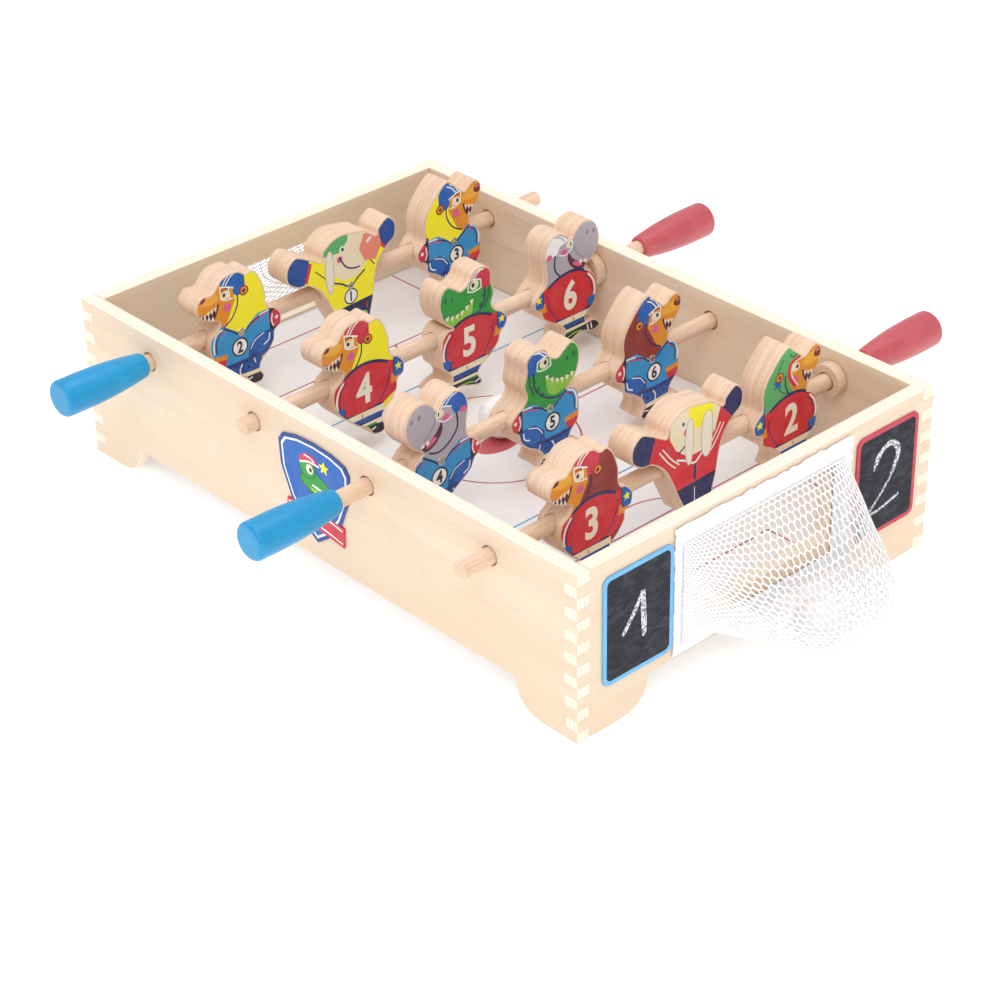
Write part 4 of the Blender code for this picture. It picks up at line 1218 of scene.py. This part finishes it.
def binding(name, sign):
    """Knitted tape stitched as a frame round the goal, with a soft uneven outer edge."""
    side, above, below = BAND
    half, low, high = WINDOW
    out_u, out_low, out_high = half + side, low - below, high + above
    bm = bmesh.new()
    step = 2.0
    count_u, count_v = int(2 * out_u / step), int((out_high - out_low) / step)
    bmesh.ops.create_grid(bm, x_segments=count_u, y_segments=count_v, size=1)
    for vert in bm.verts:
        u = vert.co.x * out_u
        v = (out_low + out_high) / 2 + vert.co.y * (out_high - out_low) / 2
        vert.co = (u, v, 0)
    for co, no in (((half, 0, 0), (1, 0, 0)), ((-half, 0, 0), (1, 0, 0)), ((0, low, 0), (0, 1, 0)),
                   ((0, high, 0), (0, 1, 0))):
        bmesh.ops.bisect_plane(bm, geom=bm.verts[:] + bm.edges[:] + bm.faces[:], dist=0.05,
                               plane_co=co, plane_no=no)
    window = [f for f in bm.faces if abs(f.calc_center_median().x) < half
              and low < f.calc_center_median().y < high]
    bmesh.ops.delete(bm, geom=window, context="FACES")
    start = 212.8
    for vert in bm.verts:
        u, v, _ = vert.co
        wave = noise.noise(Vector((u / 9, v / 9, sign * 2.0)))
        fringe = noise.noise(Vector((u / 5, v / 5, 7.0))) + 0.5 * noise.noise(Vector((u, v, 3.0)))
        edge = 1.3 if (abs(u) > out_u - 0.6 or v > out_high - 0.6 or v < out_low + 0.6) else 0.0
        pull = Vector((math.copysign(edge, u) if abs(u) > out_u - 0.6 else 0,
                       edge if v > out_high - 0.6 else 0, 0)) * fringe
        vert.co = (sign * (start + 0.35 + 0.25 * wave) * MM, (u + pull.x) * MM, (v + pull.y) * MM)
    bmesh.ops.recalc_face_normals(bm, faces=bm.faces)
    bmesh.ops.solidify(bm, geom=bm.faces[:] + bm.edges[:] + bm.verts[:], thickness=0.8 * MM)
    return show(name + "_tape", bm, "root", [tape], [name], 60)


for end, sign in (("score", 1), ("plain", -1)):
    mesh_piece = net("net_" + end, sign)
    tape_piece = binding("net_binding_" + end, sign)


# ---------------------------------------------------------------- score boards, badge, balls

def score_board(name, border, figure):
    """Blackboard film in a coloured border, with a figure chalked on it by hand."""
    low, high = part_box(name)
    u, v = (low.y + high.y) / 2 / MM, (low.z + high.z) / 2 / MM
    half_u, half_v = (high.y - low.y) / 2 / MM, (high.z - low.z) / 2 / MM
    finishes = [screen_ink(name + "_border_enamel", border), slate, chalk]
    strokes = {
        "1": [[(-12, -7), (-7, 0), (-2, 7), (2, 14)], [(-11, -6.6), (-5, 1), (1, 10), (3, 15)],
              [(2, 15), (2.4, 5), (3, -6), (4, -14)], [(3.6, 15), (4.4, 4), (5, -5), (4.6, -13)],
              [(3, 13), (3.4, 2), (4, -10)]],
        "2": [[(-11, 9), (-8, 18), (2, 23), (10, 17), (8, 6), (-2, -7), (-13, -18), (-3, -18.6),
               (12, -15)], [(-9, 12), (-4, 19.6), (4, 20.6), (8.6, 13), (4, 1)]],
    }[figure]
    art = [("border", plate(u, v, half_u, half_v, 5)),
           ("slate", plate(u, v, half_u - 2.6, half_v - 2.6, 3.4))]
    for line in strokes:
        art.append(("chalk", [(u + a, v + b) for a, b in line], 1.9))
    face = facing((low.x, 0, 0), (0, 1, 0), (0, 0, 1), (1, 0, 0))
    bm = layered(art, None, face, ["border", "slate", "chalk"], high.x - low.x, 0.03 * MM)
    show(name + "_film", bm, "root", finishes, [name])


score_board("score_board_blue", "#6FB7EA", "1")
score_board("score_board_red", "#C4364B", "2")


def badge():
    """Printed film shield: blue edge, white line, blue field, a star, a green animal head made of
    plain shapes and a red ribbon with nothing written on it."""
    low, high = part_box("shield_badge")
    cu = (low.x + high.x) / 2 / MM
    tip, top = low.z / MM, high.z / MM
    half = (high.x - low.x) / 2 / MM
    tall = top - tip
    right = [(0, top), (0.5 * half, top - 1), (0.88 * half, top - 4), (half, top - 9),
             (0.97 * half, top - 0.38 * tall), (0.72 * half, top - 0.66 * tall),
             (0.36 * half, top - 0.88 * tall), (0, tip)]
    outline = [(cu + u, v) for u, v in right + [(-u, v) for u, v in reversed(right[1:-1])]]
    middle = (cu, tip + 0.58 * tall)

    def shrunk(k):
        return [(middle[0] + (u - middle[0]) * k, middle[1] + (v - middle[1]) * k)
                for u, v in outline]

    snout = [(cu + u, top + v) for u, v in ((-8, -21), (-1, -19), (8, -22), (17, -27),
                                            (18.4, -31.6),
                                            (12, -34), (2, -33.4), (-6, -31), (-12, -27))]
    art = [
        ("deep_blue", outline), ("white", shrunk(0.925)), ("royal", shrunk(0.88)),
        ("dark_green", inset_outline(soft_loop(snout, 4), -0.8)), ("green", soft_loop(snout, 4)),
        ("dark_green", ellipse(cu - 5.6, top - 18.4, 7.4, 6.4)),
        ("green", ellipse(cu - 5.6, top - 18.4, 6.6, 5.6)),
        ("lime", soft_loop([(cu - 4, top - 29.6), (cu + 4, top - 30), (cu + 15, top - 30.6),
                            (cu + 10, top - 33), (cu, top - 32.4)], 4)),
        ("white", [(cu - 2, top - 27.6), (cu + 6, top - 28.6), (cu + 16, top - 29.4)], 1.4),
        ("bone", ellipse(cu - 3.6, top - 18.2, 3.0, 3.2)),
        ("black", ellipse(cu - 2.8, top - 18.4, 1.2, 1.5)),
        ("dark_green", ellipse(cu + 14.6, top - 25.8, 1.1, 0.8)),
        ("helmet_red", [(cu - 13, top - 17), (cu - 12, top - 12), (cu - 6, top - 8.4),
                        (cu + 1, top - 9),
                        (cu + 4.4, top - 14), (cu - 4, top - 14.4)]),
        ("white", [(cu - 12, top - 16.2), (cu - 4, top - 13.4), (cu + 5, top - 13.4)], 1.2),
        ("white", [(cu - 8, top - 10.2), (cu - 3, top - 10.4), (cu + 1, top - 12)], 1.0),
        ("mane_yellow", star(cu + 9, top - 12.4, 4.4)),
        ("helmet_red", [(cu - half + 5, tip + 19.6), (cu - half + 4, tip + 6.6), (cu, tip + 9.4),
                        (cu + half - 7, tip + 6.6), (cu + half - 6.4, tip + 19.6),
                        (cu, tip + 22.6)]),
        ("white", [(cu - half + 6, tip + 17.4), (cu, tip + 20.4),
                   (cu + half - 8, tip + 17.4)], 1.0),
        ("white", [(cu - half + 6, tip + 9.0), (cu, tip + 12), (cu + half - 8, tip + 9.0)], 1.0),
    ]
    face = facing((0, high.y, 0), (1, 0, 0), (0, 0, 1), (0, -1, 0))
    bm = layered(art, None, face, ink_names, high.y - low.y, 0.02 * MM)
    show("shield_badge_film", bm, "root", ink_finishes, ["shield_badge"])


badge()


def ball(name):
    """Hollow ball in two halves, with the fine seam where they are joined."""
    low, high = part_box(name)
    centre, r = (low + high) / 2, (high.z - low.z) / 2
    profile = [(0, -r)]
    for i in range(1, 24):
        a = -math.pi / 2 + math.pi * i / 24
        seam = 0.06 * MM if i == 12 else 0
        profile.append(((r - seam) * math.cos(a), r * math.sin(a)))
    profile.append((0, r))
    bm = turned(profile, 48)
    bmesh.ops.rotate(bm, verts=bm.verts, matrix=Matrix.Rotation(0.9, 3, "X"))
    move(bm, centre)
    show(name + "_shell", bm, name, [plastic], [name], 60)


ball("ball_in_play")
ball("ball_in_net")


# ---------------------------------------------------------------- floor, light, camera

def stage():
    floor_finish = new_finish("white_paper_sweep", "#FFFFFF", 0.9,
                              Emission_Color=(1, 1, 1, 1), Emission_Strength=0.3)[0]
    bm = bmesh.new()
    bmesh.ops.create_grid(bm, x_segments=2, y_segments=2, size=6)
    mesh = bpy.data.meshes.new("paper_sweep")
    bm.to_mesh(mesh)
    bm.free()
    mesh.materials.append(floor_finish)
    floor = bpy.data.objects.new("paper_sweep", mesh)
    scene.collection.objects.link(floor)

    world = bpy.data.worlds.new("soft_studio")
    scene.world = world
    world.use_nodes = True
    background = world.node_tree.nodes["Background"]
    background.inputs["Color"].default_value = (1, 1, 1, 1)
    background.inputs["Strength"].default_value = 0.8

    for name, spot, size, power in (("softbox_front", (1.3, -1.5, 2.7), 1.6, 24),
                                    ("softbox_left", (-2.0, -1.3, 1.8), 1.6, 4),
                                    ("softbox_top", (0.0, 0.4, 2.6), 2.0, 21)):
        lamp = bpy.data.lights.new(name, "AREA")
        lamp.energy = power
        lamp.size = size
        holder = bpy.data.objects.new(name, lamp)
        holder.location = spot
        holder.rotation_euler = (-Vector(spot)).to_track_quat("-Z", "Y").to_euler()
        scene.collection.objects.link(holder)

    lens = bpy.data.cameras.new("camera")
    lens.lens = CAMERA_LENS
    lens.sensor_width = 36
    eye = bpy.data.objects.new("camera", lens)
    right, forward = Vector(CAMERA_RIGHT).normalized(), Vector(CAMERA_FORWARD).normalized()
    up = right.cross(forward).normalized()
    matrix = Matrix((right, up, -forward)).transposed().to_4x4()
    matrix.translation = CAMERA_SPOT
    eye.matrix_world = matrix
    scene.collection.objects.link(eye)
    scene.camera = eye
    scene.view_settings.view_transform = "Standard"


stage()
